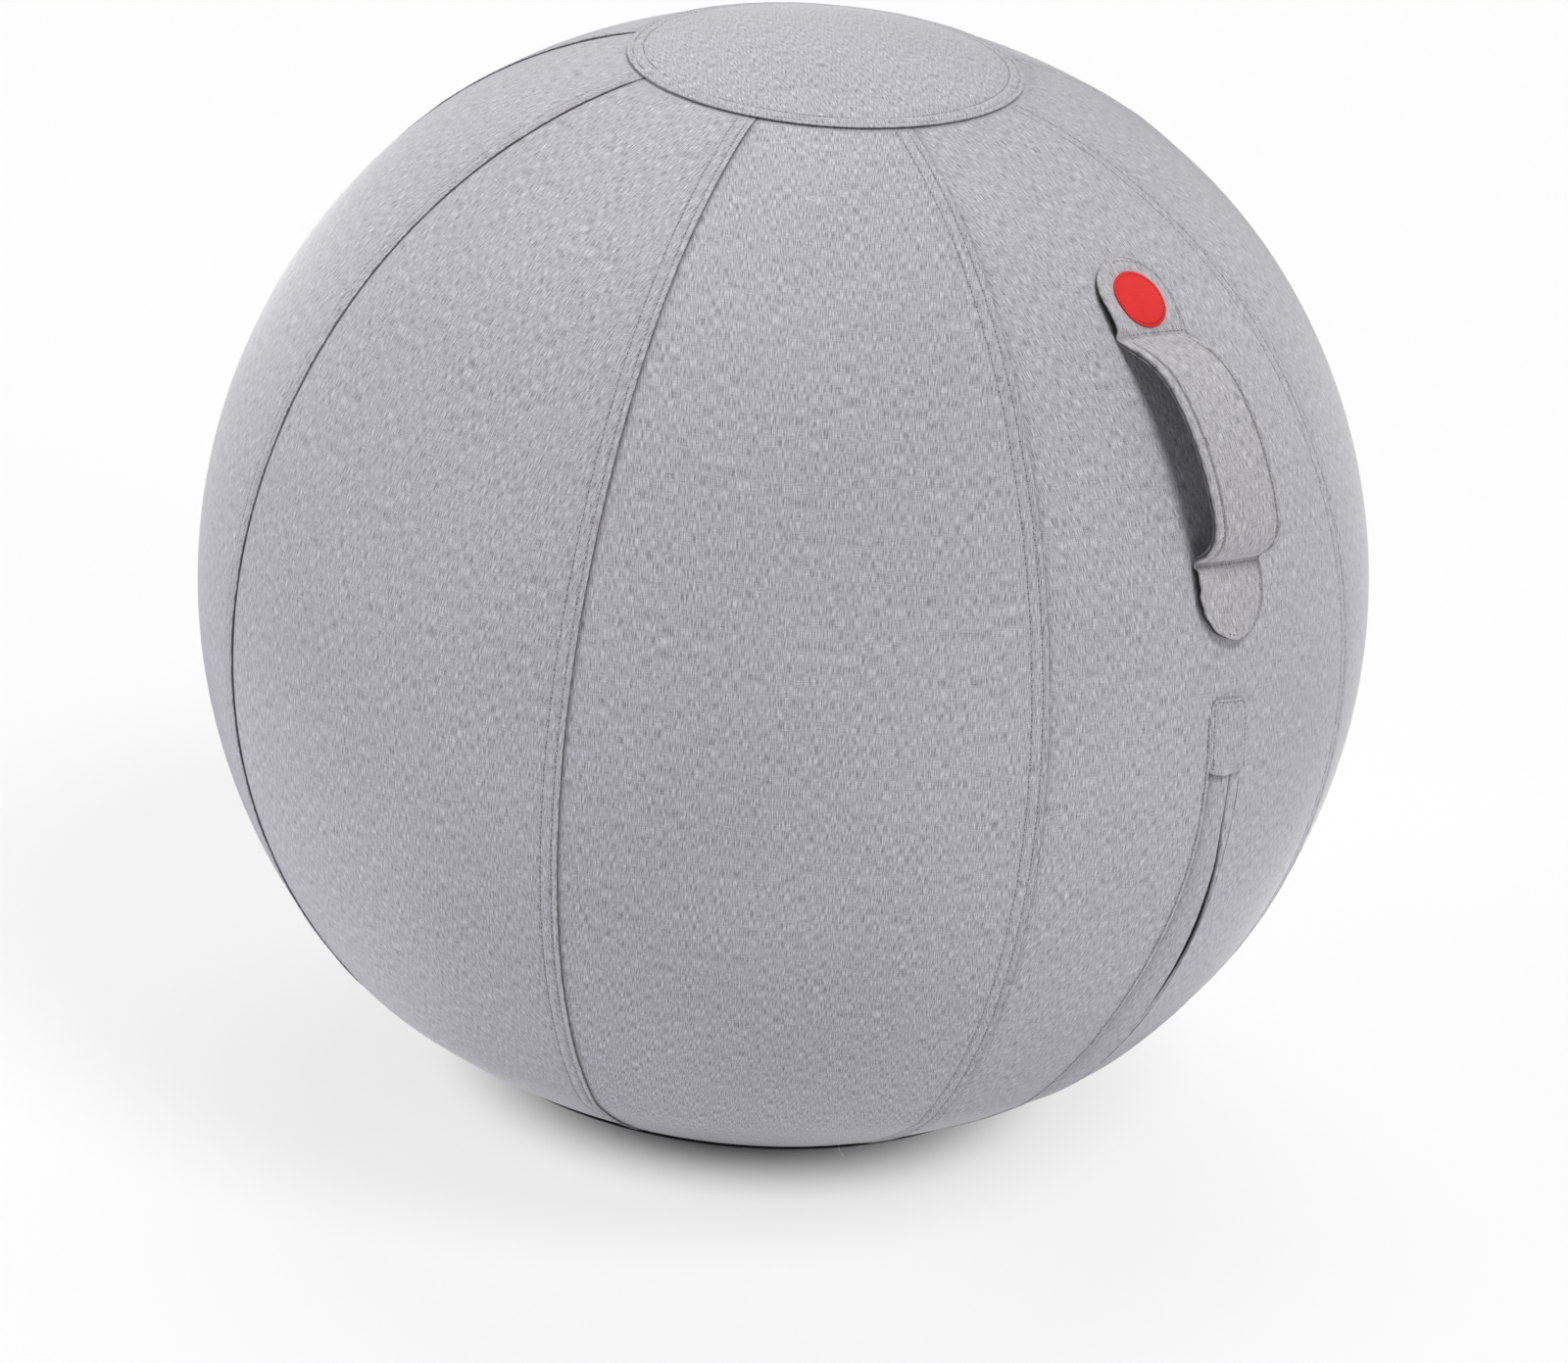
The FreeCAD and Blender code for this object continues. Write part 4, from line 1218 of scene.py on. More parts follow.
@dataclass
class Placket:
    """Cloth over the zip: a wide lip (the fly), a narrow lip on its right, and a garage tab over the zip's top."""

    outline: Outline
    layout: PlacketLayout
    fly_left: float = -0.0275
    lip_right: float = 0.011
    garage_left: float = -0.0204
    garage_right: float = 0.0078
    garage_bottom: float = 0.0
    garage_top: float = 7.8
    garage_corner: float = 0.005
    garage_foot: float = 0.003
    top_slant: float = 0.0032
    lips_meet: float = -0.0005

    def strip_length(self) -> float:
        """Length of the lips along the cover."""
        return self.outline.runs(self.outline.base_tilt, self.layout.top_tilt - 0.1)[1][-1]

    def lay(self, bm: Mesh, low: float, lift: Callable[[float, float], float],
            shift: Callable[[float, float], float], painted_shade: Callable[[float, float], float]) -> None:
        """Bends a flat cut piece onto the front of the cover.

        Args:
            bm: The flat sheet.
            low: Tilt of its lower edge.
            lift: Height over the plain outline at a place across and a tilt.
            shift: Sideways shift at a place across and a tilt.
            painted_shade: Painted shade at a place across and a tilt.
        """
        shade = bm.verts.layers.float.get(SHADE) or bm.verts.layers.float.new(SHADE)
        below = 0.004 / self.outline.equator
        heights, lengths = self.outline.runs(low - math.degrees(below), 60.0, 0.001)
        start = float(np.interp(self.outline.section(low)[1], heights, lengths))
        for vert in bm.verts:
            height = float(np.interp(vert.co.y + start, lengths, heights))
            tilt = self.outline.tilt_at(height)
            x = vert.co.x
            vert[shade] = max(vert[shade], painted_shade(x, tilt))
            vert.co = self.outline.place_beside(tilt, x + shift(x, tilt), lift(x, tilt) + vert.co.z)

    def close(self, bm: Mesh, name: str, finish: Material, offset: float) -> Piece:
        """Gives a bent sheet its thickness, its object and its weave."""
        turn_outwards(bm, Vector((0.0, 0.0, self.outline.centre_height)))
        bmesh.ops.solidify(bm, geom=bm.faces[:], thickness=CLOTH)
        piece = make_piece(bm, name, finish)
        heights, lengths = self.outline.runs(-90.0, 90.0)

        def spread(points: np.ndarray) -> np.ndarray:
            """Places of points on the flat cloth."""
            return np.stack([points[:, 0] + offset, np.interp(points[:, 2], heights, lengths)], axis=1)

        lay_weave(piece, spread)
        return piece

    def fly_lift(self, x: float, tilt: float) -> float:
        """Height of the fly: sunk beside the gore, full over the zip, and a little raised where the lips part."""
        edge = self.lips_meet
        rise = min(1.0, max(0.0, (x - self.layout.left) / (edge - self.layout.left)))
        height = -0.0006 + 0.0011 * rise
        along = math.radians(tilt) * self.outline.equator
        near = smooth((x - edge + 0.012) / 0.012)
        open_share = swell(tilt - self.layout.gap_middle, self.layout.gap_spread)
        return height + near * (0.00018 * ripple(along, 31.0, 0.03) + 0.0003 * open_share)

    def lip_lift(self, x: float, tilt: float) -> float:
        """Height of the narrow lip: its free edge lies lower than the fly, and it runs under the gore's hem."""
        along = math.radians(tilt) * self.outline.equator
        return -0.0001 - 0.0003 * (1.0 - smooth((x - 0.0005) / 0.0045)) + 0.0001 * ripple(along, 41.0, 0.03)

    def fly_painted_shade(self, x: float, tilt: float) -> float:
        """Painted shade on the fly: in the crease beside the gore, fading across, and under the garage's lower edge.
        """
        from_left = x - self.layout.left
        dark = 0.8 * swell(from_left - 0.0012, 0.0012) + 0.16 * smooth((0.016 - from_left) / 0.016)
        below = math.radians(self.garage_bottom - tilt) * self.outline.equator + self.foot_rise(x)
        return min(0.9, dark + 0.8 * swell(below - 0.0003, 0.0011) * (0.25 + 0.75 * swell(from_left - 0.009, 0.006)))

    def lip_painted_shade(self, x: float, tilt: float) -> float:
        """Painted shade on the narrow lip: beside the fly where the two meet, wider where the lips part."""
        parted = swell(tilt - self.layout.gap_middle, self.layout.gap_spread)
        return (0.85 + 0.13 * parted) * swell(x - self.lips_meet, 0.0017 + 0.0011 * parted)

    def build_fly(self, finish: Material) -> Piece:
        """Makes the wide lip."""
        length = self.strip_length()
        cut = FlatCut(self.fly_left, self.lips_meet, length, 0.0032)
        bm = cut.cut(lambda p: AXIS_X if p.x > self.lips_meet - 1e-6 else Vector())

        def shift(x: float, tilt: float) -> float:
            """Draws the left edge and the free edge to their lines."""
            near = smooth((x - self.layout.left) / 0.02)
            return (self.layout.left_at(tilt) - self.layout.left) * (1.0 - near) + self.layout.drawn(tilt) * near

        self.lay(bm, self.outline.base_tilt, self.fly_lift, shift, self.fly_painted_shade)
        piece = self.close(bm, "cloth_zip_fly", finish, 31.0)
        return carry(piece, Slot.PLACKET, "zip_fly")

    def build_lip(self, finish: Material) -> Piece:
        """Makes the narrow lip."""
        length = self.strip_length()
        cut = FlatCut(self.lips_meet, self.lip_right, length, 0.0032)
        bm = cut.cut(lambda p: -AXIS_X if p.x < self.lips_meet + 1e-6 else Vector())

        def shift(x: float, tilt: float) -> float:
            """Draws the free edge back where the lips part."""
            back = self.layout.drawn(tilt) + self.layout.parting(tilt)
            return back * (1.0 - smooth((x - self.lips_meet) / 0.009))

        self.lay(bm, self.outline.base_tilt, self.lip_lift, shift, self.lip_painted_shade)
        piece = self.close(bm, "cloth_zip_lip", finish, 32.0)
        return carry(piece, Slot.PLACKET, "zip_lip")

    def garage_length(self) -> float:
        """Length of the garage along the cover."""
        return math.radians(self.garage_top - self.garage_bottom) * self.outline.equator

    def foot_rise(self, x: float) -> float:
        """How far the garage's slanting lower edge stands above its lowest point."""
        return 0.0036 * (1.0 - smooth((x - self.garage_left) / 0.015))

    def garage_across(self, x: float) -> float:
        """Share of the garage's width at a place across it."""
        return (x - self.garage_left) / (self.garage_right - self.garage_left)

    def garage_slant(self, x: float, y: float) -> float:
        """How far a place on the flat garage is drawn along it by its slanting lower edge and top."""
        low_share = 1.0 - smooth(y / self.garage_length() / 0.5)
        top = self.top_slant * smooth(self.garage_across(x))
        return low_share * self.foot_rise(x) - (1.0 - low_share) * top

    def garage_shift(self, x: float, tilt: float) -> float:
        """Sideways shift of the garage, which widens to the right on its way down."""
        return self.garage_across(x) * (self.layout.tab_right(tilt) - self.garage_right)

    def garage_lift(self, x: float, tilt: float) -> float:
        """Height of the garage: sewn down round its top, its lower edge free and wavy."""
        share = (tilt - self.garage_bottom) / (self.garage_top - self.garage_bottom)
        free = 1.0 - smooth(share / 0.45)
        across = self.garage_across(x)
        wave = 0.0011 * swell(across - 0.28, 0.22) + 0.0003 * math.sin(across * 9.0)
        inside = smooth(min(across, 1.0 - across) / 0.12)
        return 0.0012 + 0.0005 * inside * smooth((1.0 - share) / 0.2) + free * wave

    def build_garage(self, finish: Material) -> Piece:
        """Makes the garage tab."""
        length = self.garage_length()
        hem = Hem(height=0.0011, back=0.0018)
        cut = FlatCut(
            self.garage_left, self.garage_right, length, 0.0024, self.garage_corner, self.garage_foot, hem
        )
        bm = cut.cut(cut.beyond)
        for vert in bm.verts:
            vert.co.y += self.garage_slant(vert.co.x, vert.co.y)
        self.lay(bm, self.garage_bottom, self.garage_lift, self.garage_shift, lambda x, tilt: 0.0)
        piece = self.close(bm, "cloth_zip_garage", finish, 33.0)
        return carry(piece, Slot.PLACKET, "zip_garage")

    def stitch(self, stitching: Stitching, thread: Material, needle: Material) -> Piece:
        """Sews the garage down along its left edge, its top and its right edge."""
        inset = 0.0017
        length = self.garage_length()
        radius = self.garage_corner - inset
        left = self.garage_left + inset
        right = self.garage_right - inset
        side = length - self.garage_corner
        quarter = radius * math.pi / 2
        top = right - left - 2.0 * radius
        heights, lengths = self.outline.runs(self.garage_bottom, 60.0)

        def flat(run: float) -> Tuple[float, float]:
            """Place on the flat tab, from its lower left corner round to its lower right one."""
            if run < side:
                return left, run
            run -= side
            if run < quarter:
                turn = run / radius
                return left + radius * (1.0 - math.cos(turn)), side + radius * math.sin(turn)
            run -= quarter
            if run < top:
                return left + radius + run, side + radius
            run -= top
            if run < quarter:
                turn = run / radius
                return right - radius + radius * math.sin(turn), side + radius * math.cos(turn)
            return right, side - (run - quarter)

        def path(run: float) -> Vector:
            """Place on the tab."""
            x, y = flat(run)
            y += self.garage_slant(x, y)
            tilt = self.outline.tilt_at(float(np.interp(y, lengths, heights)))
            return self.outline.place_beside(tilt, x + self.garage_shift(x, tilt), self.garage_lift(x, tilt))

        def face(run: float) -> Vector:
            """Direction out of the tab."""
            point = path(run)
            return self.outline.outward(self.outline.tilt_at(point.z), around(point))

        spots = stitching.run(path, face, 2.0 * side + 2.0 * quarter + top)
        piece = make_piece(stitching.sew(spots), "stitches_zip_garage", thread, needle)
        return carry(piece, Slot.PLACKET)


@dataclass
class Handle:
    """Handle strap of two layers: round ends sewn to the cover, and a loop that stands off between them."""

    outline: Outline
    upper_stitch: float = 43.0
    lower_stitch: float = 20.3
    width: float = 0.052
    upper_tab: float = 0.046
    lower_tab: float = 0.041
    slant: float = 0.14
    upper_drift: float = 0.11
    lower_drift: float = 0.06
    tab_face: float = 0.0029
    tab_thickness: float = 0.0026
    loop_thickness: float = 0.0039
    pressed: float = 0.0017
    upper_leg: float = 0.0125
    upper_slope: float = 52.0
    upper_haunch: float = 0.048
    crown_radius: float = 0.15668
    crown_start: float = 12.0
    crown_end: float = -14.0
    lower_haunch: float = 0.022
    lower_slope: float = -86.0
    lower_leg: float = 0.00622
    topstitch: float = 0.006
    right_topstitch: float = 0.0042
    wave_pitch: float = 0.0085
    row: float = 0.0014
    trail: np.ndarray = field(init=False)
    lengths: np.ndarray = field(init=False)
    upper_root: float = field(init=False)
    lower_root: float = field(init=False)

    def __post_init__(self) -> None:
        """Draws the strap's side view."""
        self.upper = self.outline.place(self.upper_stitch, 0.0)
        self.lower = self.outline.place(self.lower_stitch, 0.0)
        chord = self.lower - self.upper
        self.chord = chord.length
        self.along = chord.normalized()
        self.away = self.along.cross(AXIS_X)
        top = self.tab_points(self.upper_stitch, self.upper_tab, 1.0)[::-1]
        loop = self.loop_points()
        bottom = self.tab_points(self.lower_stitch, self.lower_tab, -1.0)
        points = np.array([p[:] for p in top + loop + bottom])
        for _ in range(10):
            points[1:-1] = (points[:-2] + 2.0 * points[1:-1] + points[2:]) / 4.0
        steps = np.linalg.norm(np.diff(points, axis=0), axis=1)
        self.trail = points
        self.lengths = np.concatenate([[0.0], np.cumsum(steps)])
        self.upper_root = float(self.lengths[len(top) - 1])
        self.lower_root = float(self.lengths[len(top) + len(loop)])

    def tab_points(self, tilt: float, length: float, way: float) -> List[Vector]:
        """Middle line of a sewn end's face, from its stitch line to its tip.

        Args:
            tilt: Tilt of the stitch line.
            length: Length of the end.
            way: 1 for an end that points up, -1 for one that points down.

        Returns:
            Points about half a millimetre apart.
        """
        radius = self.outline.shoulder if way > 0 else self.outline.equator
        count = round(length / 0.0005)
        points = []
        for k in range(count + 1):
            run = length * k / count
            lift = self.pressed + (self.tab_face - self.pressed) * smooth(run / 0.008)
            points.append(self.outline.place(tilt + way * math.degrees(run / radius), 0.0, lift))
        return points

    def loop_points(self) -> List[Vector]:
        """Middle line of the loop's face between its stitch lines: a leg, a haunch, the crown, a haunch and a leg."""
        turns = [
            (self.upper_slope, self.crown_start, self.upper_haunch),
            (self.crown_start, self.crown_end, self.crown_radius),
            (self.crown_end, self.lower_slope, self.lower_haunch),
        ]
        step = 0.0005
        here = np.array([0.0, 0.0])
        flat = [here]

        def forward(slope: float, length: float) -> None:
            """Goes straight on at a slope."""
            turn = math.radians(slope)
            flat.append(flat[-1] + length * np.array([math.cos(turn), math.sin(turn)]))

        for _ in range(round(self.upper_leg / step)):
            forward(self.upper_slope, step)
        for begin, end, radius in turns:
            count = round(math.radians(begin - end) * radius / step)
            piece = 2.0 * radius * math.sin(math.radians(begin - end) / count / 2.0)
            for k in range(count):
                forward(begin + (end - begin) * (k + 0.5) / count, piece)
        for _ in range(round(self.lower_leg / step)):
            forward(self.lower_slope, step)
        miss = np.array([self.chord, 0.0]) - flat[-1]
        upper_face = self.outline.outward(self.upper_stitch, 0.0)
        lower_face = self.outline.outward(self.lower_stitch, 0.0)
        points = []
        for k, (run, rise) in enumerate(flat):
            share = k / (len(flat) - 1)
            run, rise = run + miss[0] * share, rise + miss[1] * share
            point = self.upper + self.along * float(run) + self.away * float(rise)
            point += upper_face * self.pressed * (1.0 - smooth(share / 0.12))
            point += lower_face * self.pressed * smooth((share - 0.88) / 0.12)
            points.append(point)
        return points[1:-1]

    def at(self, length: float) -> Tuple[Vector, Vector]:
        """Point of the face's middle line, and the direction out of it, at a length from the upper tip."""
        span = 0.0012
        before, here, after = (
            Vector([float(np.interp(length + d, self.lengths, self.trail[:, k])) for k in range(3)])
            for d in (-span, 0, span)
        )
        return here, (after - before).normalized().cross(AXIS_X)

    def total(self) -> float:
        """The strap's whole length."""
        return float(self.lengths[-1])

    def half_width(self, length: float) -> float:
        """Half the strap's width: round at both tips."""
        radius = self.width / 2
        nearest = min(length, self.total() - length)
        if nearest >= radius:
            return radius
        gap = radius - max(0.0, nearest)
        return max(0.0009, math.sqrt(max(0.0, radius * radius - gap * gap)))

    def sewn(self, length: float) -> float:
        """Share of a sewn end at a length: 1 on the ends and 0 on the loop."""
        upper = 1.0 - smooth((length - self.upper_root) / 0.018)
        lower = smooth((length - self.lower_root + 0.016) / 0.016)
        return max(upper, lower)

    def thickness(self, length: float) -> float:
        """Thickness of the two layers: pressed thin on the stitch lines."""
        plain = self.loop_thickness + (self.tab_thickness - self.loop_thickness) * self.sewn(length)
        pinch = max(swell(length - self.upper_root, 0.003), swell(length - self.lower_root, 0.003))
        return plain - 0.0009 * pinch

    def relief(self, length: float, x: float) -> float:
        """Height of the face off its middle line: it follows the ball on the ends, and its left edges stand up."""
        half = self.half_width(length)
        sewn = self.sewn(length)
        height = -x * x / (2.0 * self.outline.equator) * sewn
        edge = half - abs(x)
        row = self.topstitch if x < 0.0 else self.right_topstitch
        for middle, weight in ((row, 1.0 - sewn), (0.0025, 0.6 * sewn if x > 0.0 else 0.0)):
            height -= 0.0008 * weight * swell(edge - middle, 0.0009)
        height += (1.0 - sewn) * (0.0003 * swell(x, 0.015) + 0.0006 * swell(edge - 0.0028, 0.002))
        return height

    def peel(self, length: float, x: float) -> float:
        """How far the upper layer stands off the lower one: on the left of the sewn ends and at the lower tip."""
        left = smooth((-x - 0.010) / 0.015)
        upper = smooth((length - 0.004) / 0.034) * smooth((self.upper_root - 0.0005 - length) / 0.004)
        lower = smooth((length - self.lower_root - 0.0005) / 0.003)
        tip = smooth((length - self.total() + 0.016) / 0.014)
        wave = 0.0024 + 0.0005 * math.sin(math.tau * length / self.wave_pitch) + 0.0005 * ripple(length, 51.0, 0.006)
        return left * (0.0028 * upper + wave * lower) * (1.0 - tip) + 0.0021 * tip * smooth((0.024 - x) / 0.03)

    def face(self, length: float, x: float, depth: float = 0.0) -> Vector:
        """Place on the strap's face, or a depth under it."""
        return self.skewed(length, x, self.relief(length, x) + self.peel(length, x) - depth)

    def under_face(self, length: float, x: float, depth: float) -> Vector:
        """Place on the lower layer at a depth under the face as it lies unpeeled."""
        return self.skewed(length, x, self.relief(length, x) - depth)

    def skewed(self, length: float, x: float, height: float) -> Vector:
        """Place at a height over the strap's middle line, on a strap that was sewn on a little askew."""
        point, outward = self.at(length)
        drift = self.upper_drift * max(0.0, self.upper_root - length)
        drift -= self.lower_drift * max(0.0, length - self.lower_root)
        point = point + AXIS_X * (x + drift) + outward * height
        middle = Vector((0.0, 0.0, self.outline.centre_height))
        return middle + Matrix.Rotation(self.slant * x / self.outline.equator, 3, "X") @ (point - middle)

    def section(self) -> List[Tuple[float, float, float]]:
        """Ring round the strap as (share across, edge out, level): two layers with a groove between them."""
        left = (
            0.004, 0.008, 0.012, 0.015, 0.017, 0.0183, 0.0191, 0.0196, 0.02, 0.0204,
            0.0209, 0.0216, 0.0226, 0.0236, 0.0245, 0.0253, 0.026,
        )
        right = (
            0.004, 0.008, 0.012, 0.015, 0.0175, 0.0192, 0.0203, 0.021, 0.0214, 0.0218,
            0.0222, 0.0227, 0.0234, 0.0242, 0.0249, 0.0255, 0.026,
        )
        half = self.width / 2
        across = [-x / half for x in reversed(left)] + [0.0] + [x / half for x in right]
        lobe = [math.radians(angle) for angle in (60, 25, -10, -45, -75)]
        upper = [(math.cos(a), 0.25 - 0.25 * math.sin(a)) for a in lobe]
        lower = [(math.cos(a) - 0.35, 0.75 + 0.25 * math.sin(a)) for a in reversed(lobe)]
        side = upper + [(0.05, 0.5)] + lower
        ring = [(share, 0.0, 0.0) for share in across]
        ring += [(1.0, out, level) for out, level in side]
        ring += [(share, 0.0, 1.0) for share in reversed(across)]
        ring += [(-1.0, -out, level) for out, level in reversed(side)]
        return ring

    def rows(self) -> List[float]:
        """Lengths of the mesh's rows, close together round the tips."""
        radius = self.width / 2
        angles = (2, 6, 11, 17, 24, 31, 38, 45, 52, 59, 66, 73, 80, 87)
        tip = [radius * (1.0 - math.cos(math.radians(angle))) for angle in angles]
        total = self.total()
        count = round((total - 2.0 * radius) / self.row)
        straight = [radius + (total - 2.0 * radius) * k / count for k in range(count + 1)]
        return tip + straight + [total - length for length in reversed(tip)]

    def build(self, finish: Material) -> Piece:
        """Makes the strap.

        Args:
            finish: Its cloth.

        Returns:
            The piece.
        """
        section = self.section()
        rows = self.rows()
        bm = bmesh.new()
        bmesh.ops.create_cone(
            bm, cap_ends=True, segments=len(section), radius1=1.0, radius2=1.0, depth=1.0
        )
        upright = [edge for edge in bm.edges if abs(edge.verts[0].co.z - edge.verts[1].co.z) > 0.5]
        bmesh.ops.subdivide_edges(bm, edges=upright, cuts=len(rows) - 2)
        shade = bm.verts.layers.float.new(SHADE)
        for vert in bm.verts:
            spot = round(math.atan2(vert.co.y, vert.co.x) / math.tau * len(section)) % len(section)
            number = round((vert.co.z + 0.5) * (len(rows) - 1))
            vert.co = self.ring_place(rows[number], section[spot])
            vert[shade] = self.painted_shade(rows[number], section[spot])
        bmesh.ops.recalc_face_normals(bm, faces=bm.faces[:])
        piece = make_piece(bm, "handle_strap", finish)
        lay_weave(piece, self.spread)
        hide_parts("handle_upper_end", "handle_loop", "handle_lower_end", "handle_core")
        return self.hang(piece)

    def ring_place(self, length: float, spot: Tuple[float, float, float]) -> Vector:
        """Place of one point of the ring at a length along the strap."""
        share, out, level = spot
        thick = self.thickness(length)
        round_off = thick / 4.0
        half = self.half_width(length)
        inner = max(0.0, half - round_off)
        x = share * inner + out * min(round_off, half)
        if x < 0.0 and length > self.lower_root:
            ease = smooth((length - self.lower_root) / 0.006)
            x -= ease * 0.0005 * math.sin(math.tau * length / self.wave_pitch + 0.8) * min(1.0, abs(x) / half)
        if level < 0.5:
            return self.face(length, x, level * thick)
        if level == 0.5:
            reach = min(abs(x), 2.2 * self.peel(length, x))
            return self.under_face(length, x - math.copysign(reach, x), level * thick - 0.4 * self.peel(length, x))
        return self.under_face(length, x, level * thick)

    def painted_shade(self, length: float, spot: Tuple[float, float, float]) -> float:
        """Painted shade on the strap: along its topstitching, in the groove between its layers, at its roots and
        along the sewn ends' right edges.
        """
        share, _, level = spot
        if level == 0.5:
            return 1.0
        if level > 0.0:
            near = 1.0 - abs(level - 0.5) / 0.5
            return (0.1 + 0.7 * near * near) if level < 0.5 else (0.2 + 0.7 * near)
        edge = self.half_width(length) * (1.0 - abs(share))
        roots = max(swell(length - root, 0.0008) for root in (self.upper_root, self.lower_root))
        row, strength = (self.topstitch, 0.45) if share < 0.0 else (self.right_topstitch, 0.65)
        rows = (1.0 - self.sewn(length)) * strength * swell(edge - row, 0.0008)
        soft = 0.0022 if length > self.lower_root else 0.001
        right = 0.4 * self.sewn(length) * smooth(share) * swell(edge, soft)
        return min(1.0, 0.35 * roots + rows + right)

    def spread(self, points: np.ndarray) -> np.ndarray:
        """Places of points on the flat strap."""
        nearest = [int(np.argmin((self.trail[:, 1] - p[1]) ** 2 + (self.trail[:, 2] - p[2]) ** 2)) for p in points]
        return np.stack([points[:, 0] + 41.0, self.lengths[nearest]], axis=1)

    def hang(self, piece: Piece) -> Piece:
        """Bakes a piece's placing into its mesh and logs its faces."""
        middle = self.upper.lerp(self.lower, 0.5)
        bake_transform(piece)
        log.info("%s: %d faces", piece.name, len(piece.data.polygons))
        return piece

    def stitch(self, stitching: Stitching, thread: Material, needle: Material) -> Piece:
        """Sews the loop's two topstitched edges, the cross rows at its roots and the ends' right edges."""
        edge = self.width / 2 - self.topstitch
        start = self.upper_root + 0.002
        length = self.lower_root - 0.002 - start
        cross = self.width - 0.006
        runs = []
        for x in (-edge, self.width / 2 - self.right_topstitch):
            runs.append((lambda run, x=x: (start + run, x), length))
        for root in (self.upper_root - 0.0012, self.lower_root + 0.0012):
            runs.append((lambda run, root=root: (root, run - cross / 2), cross))
        total = self.total()
        radius = self.width / 2 - 0.0025
        tips = ((self.width / 2, -1.0, self.upper_root), (total - self.width / 2, 1.0, self.lower_root))
        for tip, way, reach in tips:
            straight = abs(reach - tip) - 0.002
            curve = radius * math.pi * 0.6

            def border(
                run: float, tip: float = tip, way: float = way, straight: float = straight
            ) -> Tuple[float, float]:
                """Place on a sewn end's right edge and round its tip."""
                if run < straight:
                    return tip - way * (straight - run), radius
                turn = (run - straight) / radius
                return tip + way * radius * math.sin(turn), radius * math.cos(turn)

            runs.append((border, straight + curve))
        rows = []
        for flat, span in runs:
            rows.append(stitching.sew(stitching.run(
                lambda run, flat=flat: self.face(*flat(run)), lambda run, flat=flat: self.at(flat(run)[0])[1], span
            )))
        piece = make_piece(gather(rows), "stitches_handle", thread, needle)
        return self.hang(piece)


@dataclass
class Badge:
    """Round red badge on the upper end of the strap, bare but for its stitched border."""

    handle: Handle
    radius: float = 0.0165
    thickness: float = 0.0009
    border: float = 0.0018
    rings: int = 11
    segments: int = 96

    def build(self, finish: Material) -> Piece:
        """Makes the badge.

        Args:
            finish: Its cloth.

        Returns:
            The piece.
        """
        bm = bmesh.new()
        bmesh.ops.create_circle(bm, cap_ends=True, segments=self.segments, radius=self.radius)
        for _ in range(self.rings):
            inner = [face for face in bm.faces if len(face.verts) > 4]
            bmesh.ops.inset_region(bm, faces=inner, thickness=self.radius / (self.rings + 1.5), use_even_offset=True)
        if bm.faces[:][0].normal.z < 0.0:
            bmesh.ops.reverse_faces(bm, faces=bm.faces[:])
        bmesh.ops.solidify(bm, geom=bm.faces[:], thickness=self.thickness)
        rim = [e for e in bm.edges if abs(e.verts[0].co.xy.length - self.radius) < 1e-6
               and abs(e.verts[1].co.xy.length - self.radius) < 1e-6
               and abs(e.verts[0].co.z - e.verts[1].co.z) < 1e-7]
        bmesh.ops.bevel(
            bm, geom=rim, offset=self.thickness * 0.35, affect="EDGES", segments=3, profile=0.5, material=-1
        )
        for vert in bm.verts:
            vert.co = self.seat(vert.co)
        bmesh.ops.recalc_face_normals(bm, faces=bm.faces[:])
        piece = make_piece(bm, "cloth_badge", finish)
        return carry(piece, Slot.BADGE, "badge")

    def seat(self, flat: Vector) -> Vector:
        """Place on the strap of a point of the flat badge."""
        length = self.handle.width / 2 - flat.y
        sink = 0.0
        if flat.z > -self.thickness / 2:
            sink = 0.00022 * swell(flat.xy.length - self.radius + self.border, 0.0008)
        return self.handle.face(length, flat.x, -self.thickness - 0.00012 - flat.z + sink)

    def stitch(self, finish: Material) -> Piece:
        """Sews the badge's border with short dashes."""
        stitching = Stitching(
            pitch=0.0023, length=0.0015, width=0.0007, height=0.0003, hole=0.0003, hole_width=0.0003
        )
        radius = self.radius - self.border

        def path(run: float) -> Vector:
            """Place on the border."""
            turn = run / radius
            return self.seat(Vector((radius * math.cos(turn), radius * math.sin(turn), 0.00016)))

        def face(run: float) -> Vector:
            """Direction out of the badge on the border."""
            return self.handle.at(self.handle.width / 2 - radius * math.sin(run / radius))[1]

        spots = stitching.run(path, face, math.tau * radius)
        piece = make_piece(stitching.sew(spots), "stitches_badge", finish, finish)
        return carry(piece, Slot.BADGE)


@dataclass
class HiddenPieces:
    """Pieces behind the cover whose CAD shape is kept: the zip, its facings and the bladder."""

    finishes: Finishes

    def dress(self) -> None:
        """Gives each node its finish."""
        looks = {
            "zip_backing_left": self.finishes.facing,
            "zip_backing_right": self.finishes.facing,
            "zip_tape_left": self.finishes.tape,
            "zip_tape_right": self.finishes.tape,
            "zip_teeth_left": self.finishes.teeth,
            "zip_teeth_right": self.finishes.teeth,
            "zip_top_stops": self.finishes.teeth,
            "zip_bottom_stop": self.finishes.teeth,
            "zip_slider": self.finishes.enamel,
            "zip_pull": self.finishes.enamel,
            "bladder": self.finishes.vinyl,
            "valve_seat": self.finishes.valve,
            "valve_plug": self.finishes.valve,
        }
        for name, finish in looks.items():
            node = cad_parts[name]
            node.data.materials.clear()
            node.data.materials.append(finish)
            log.info("%s: %s", name, finish.name)


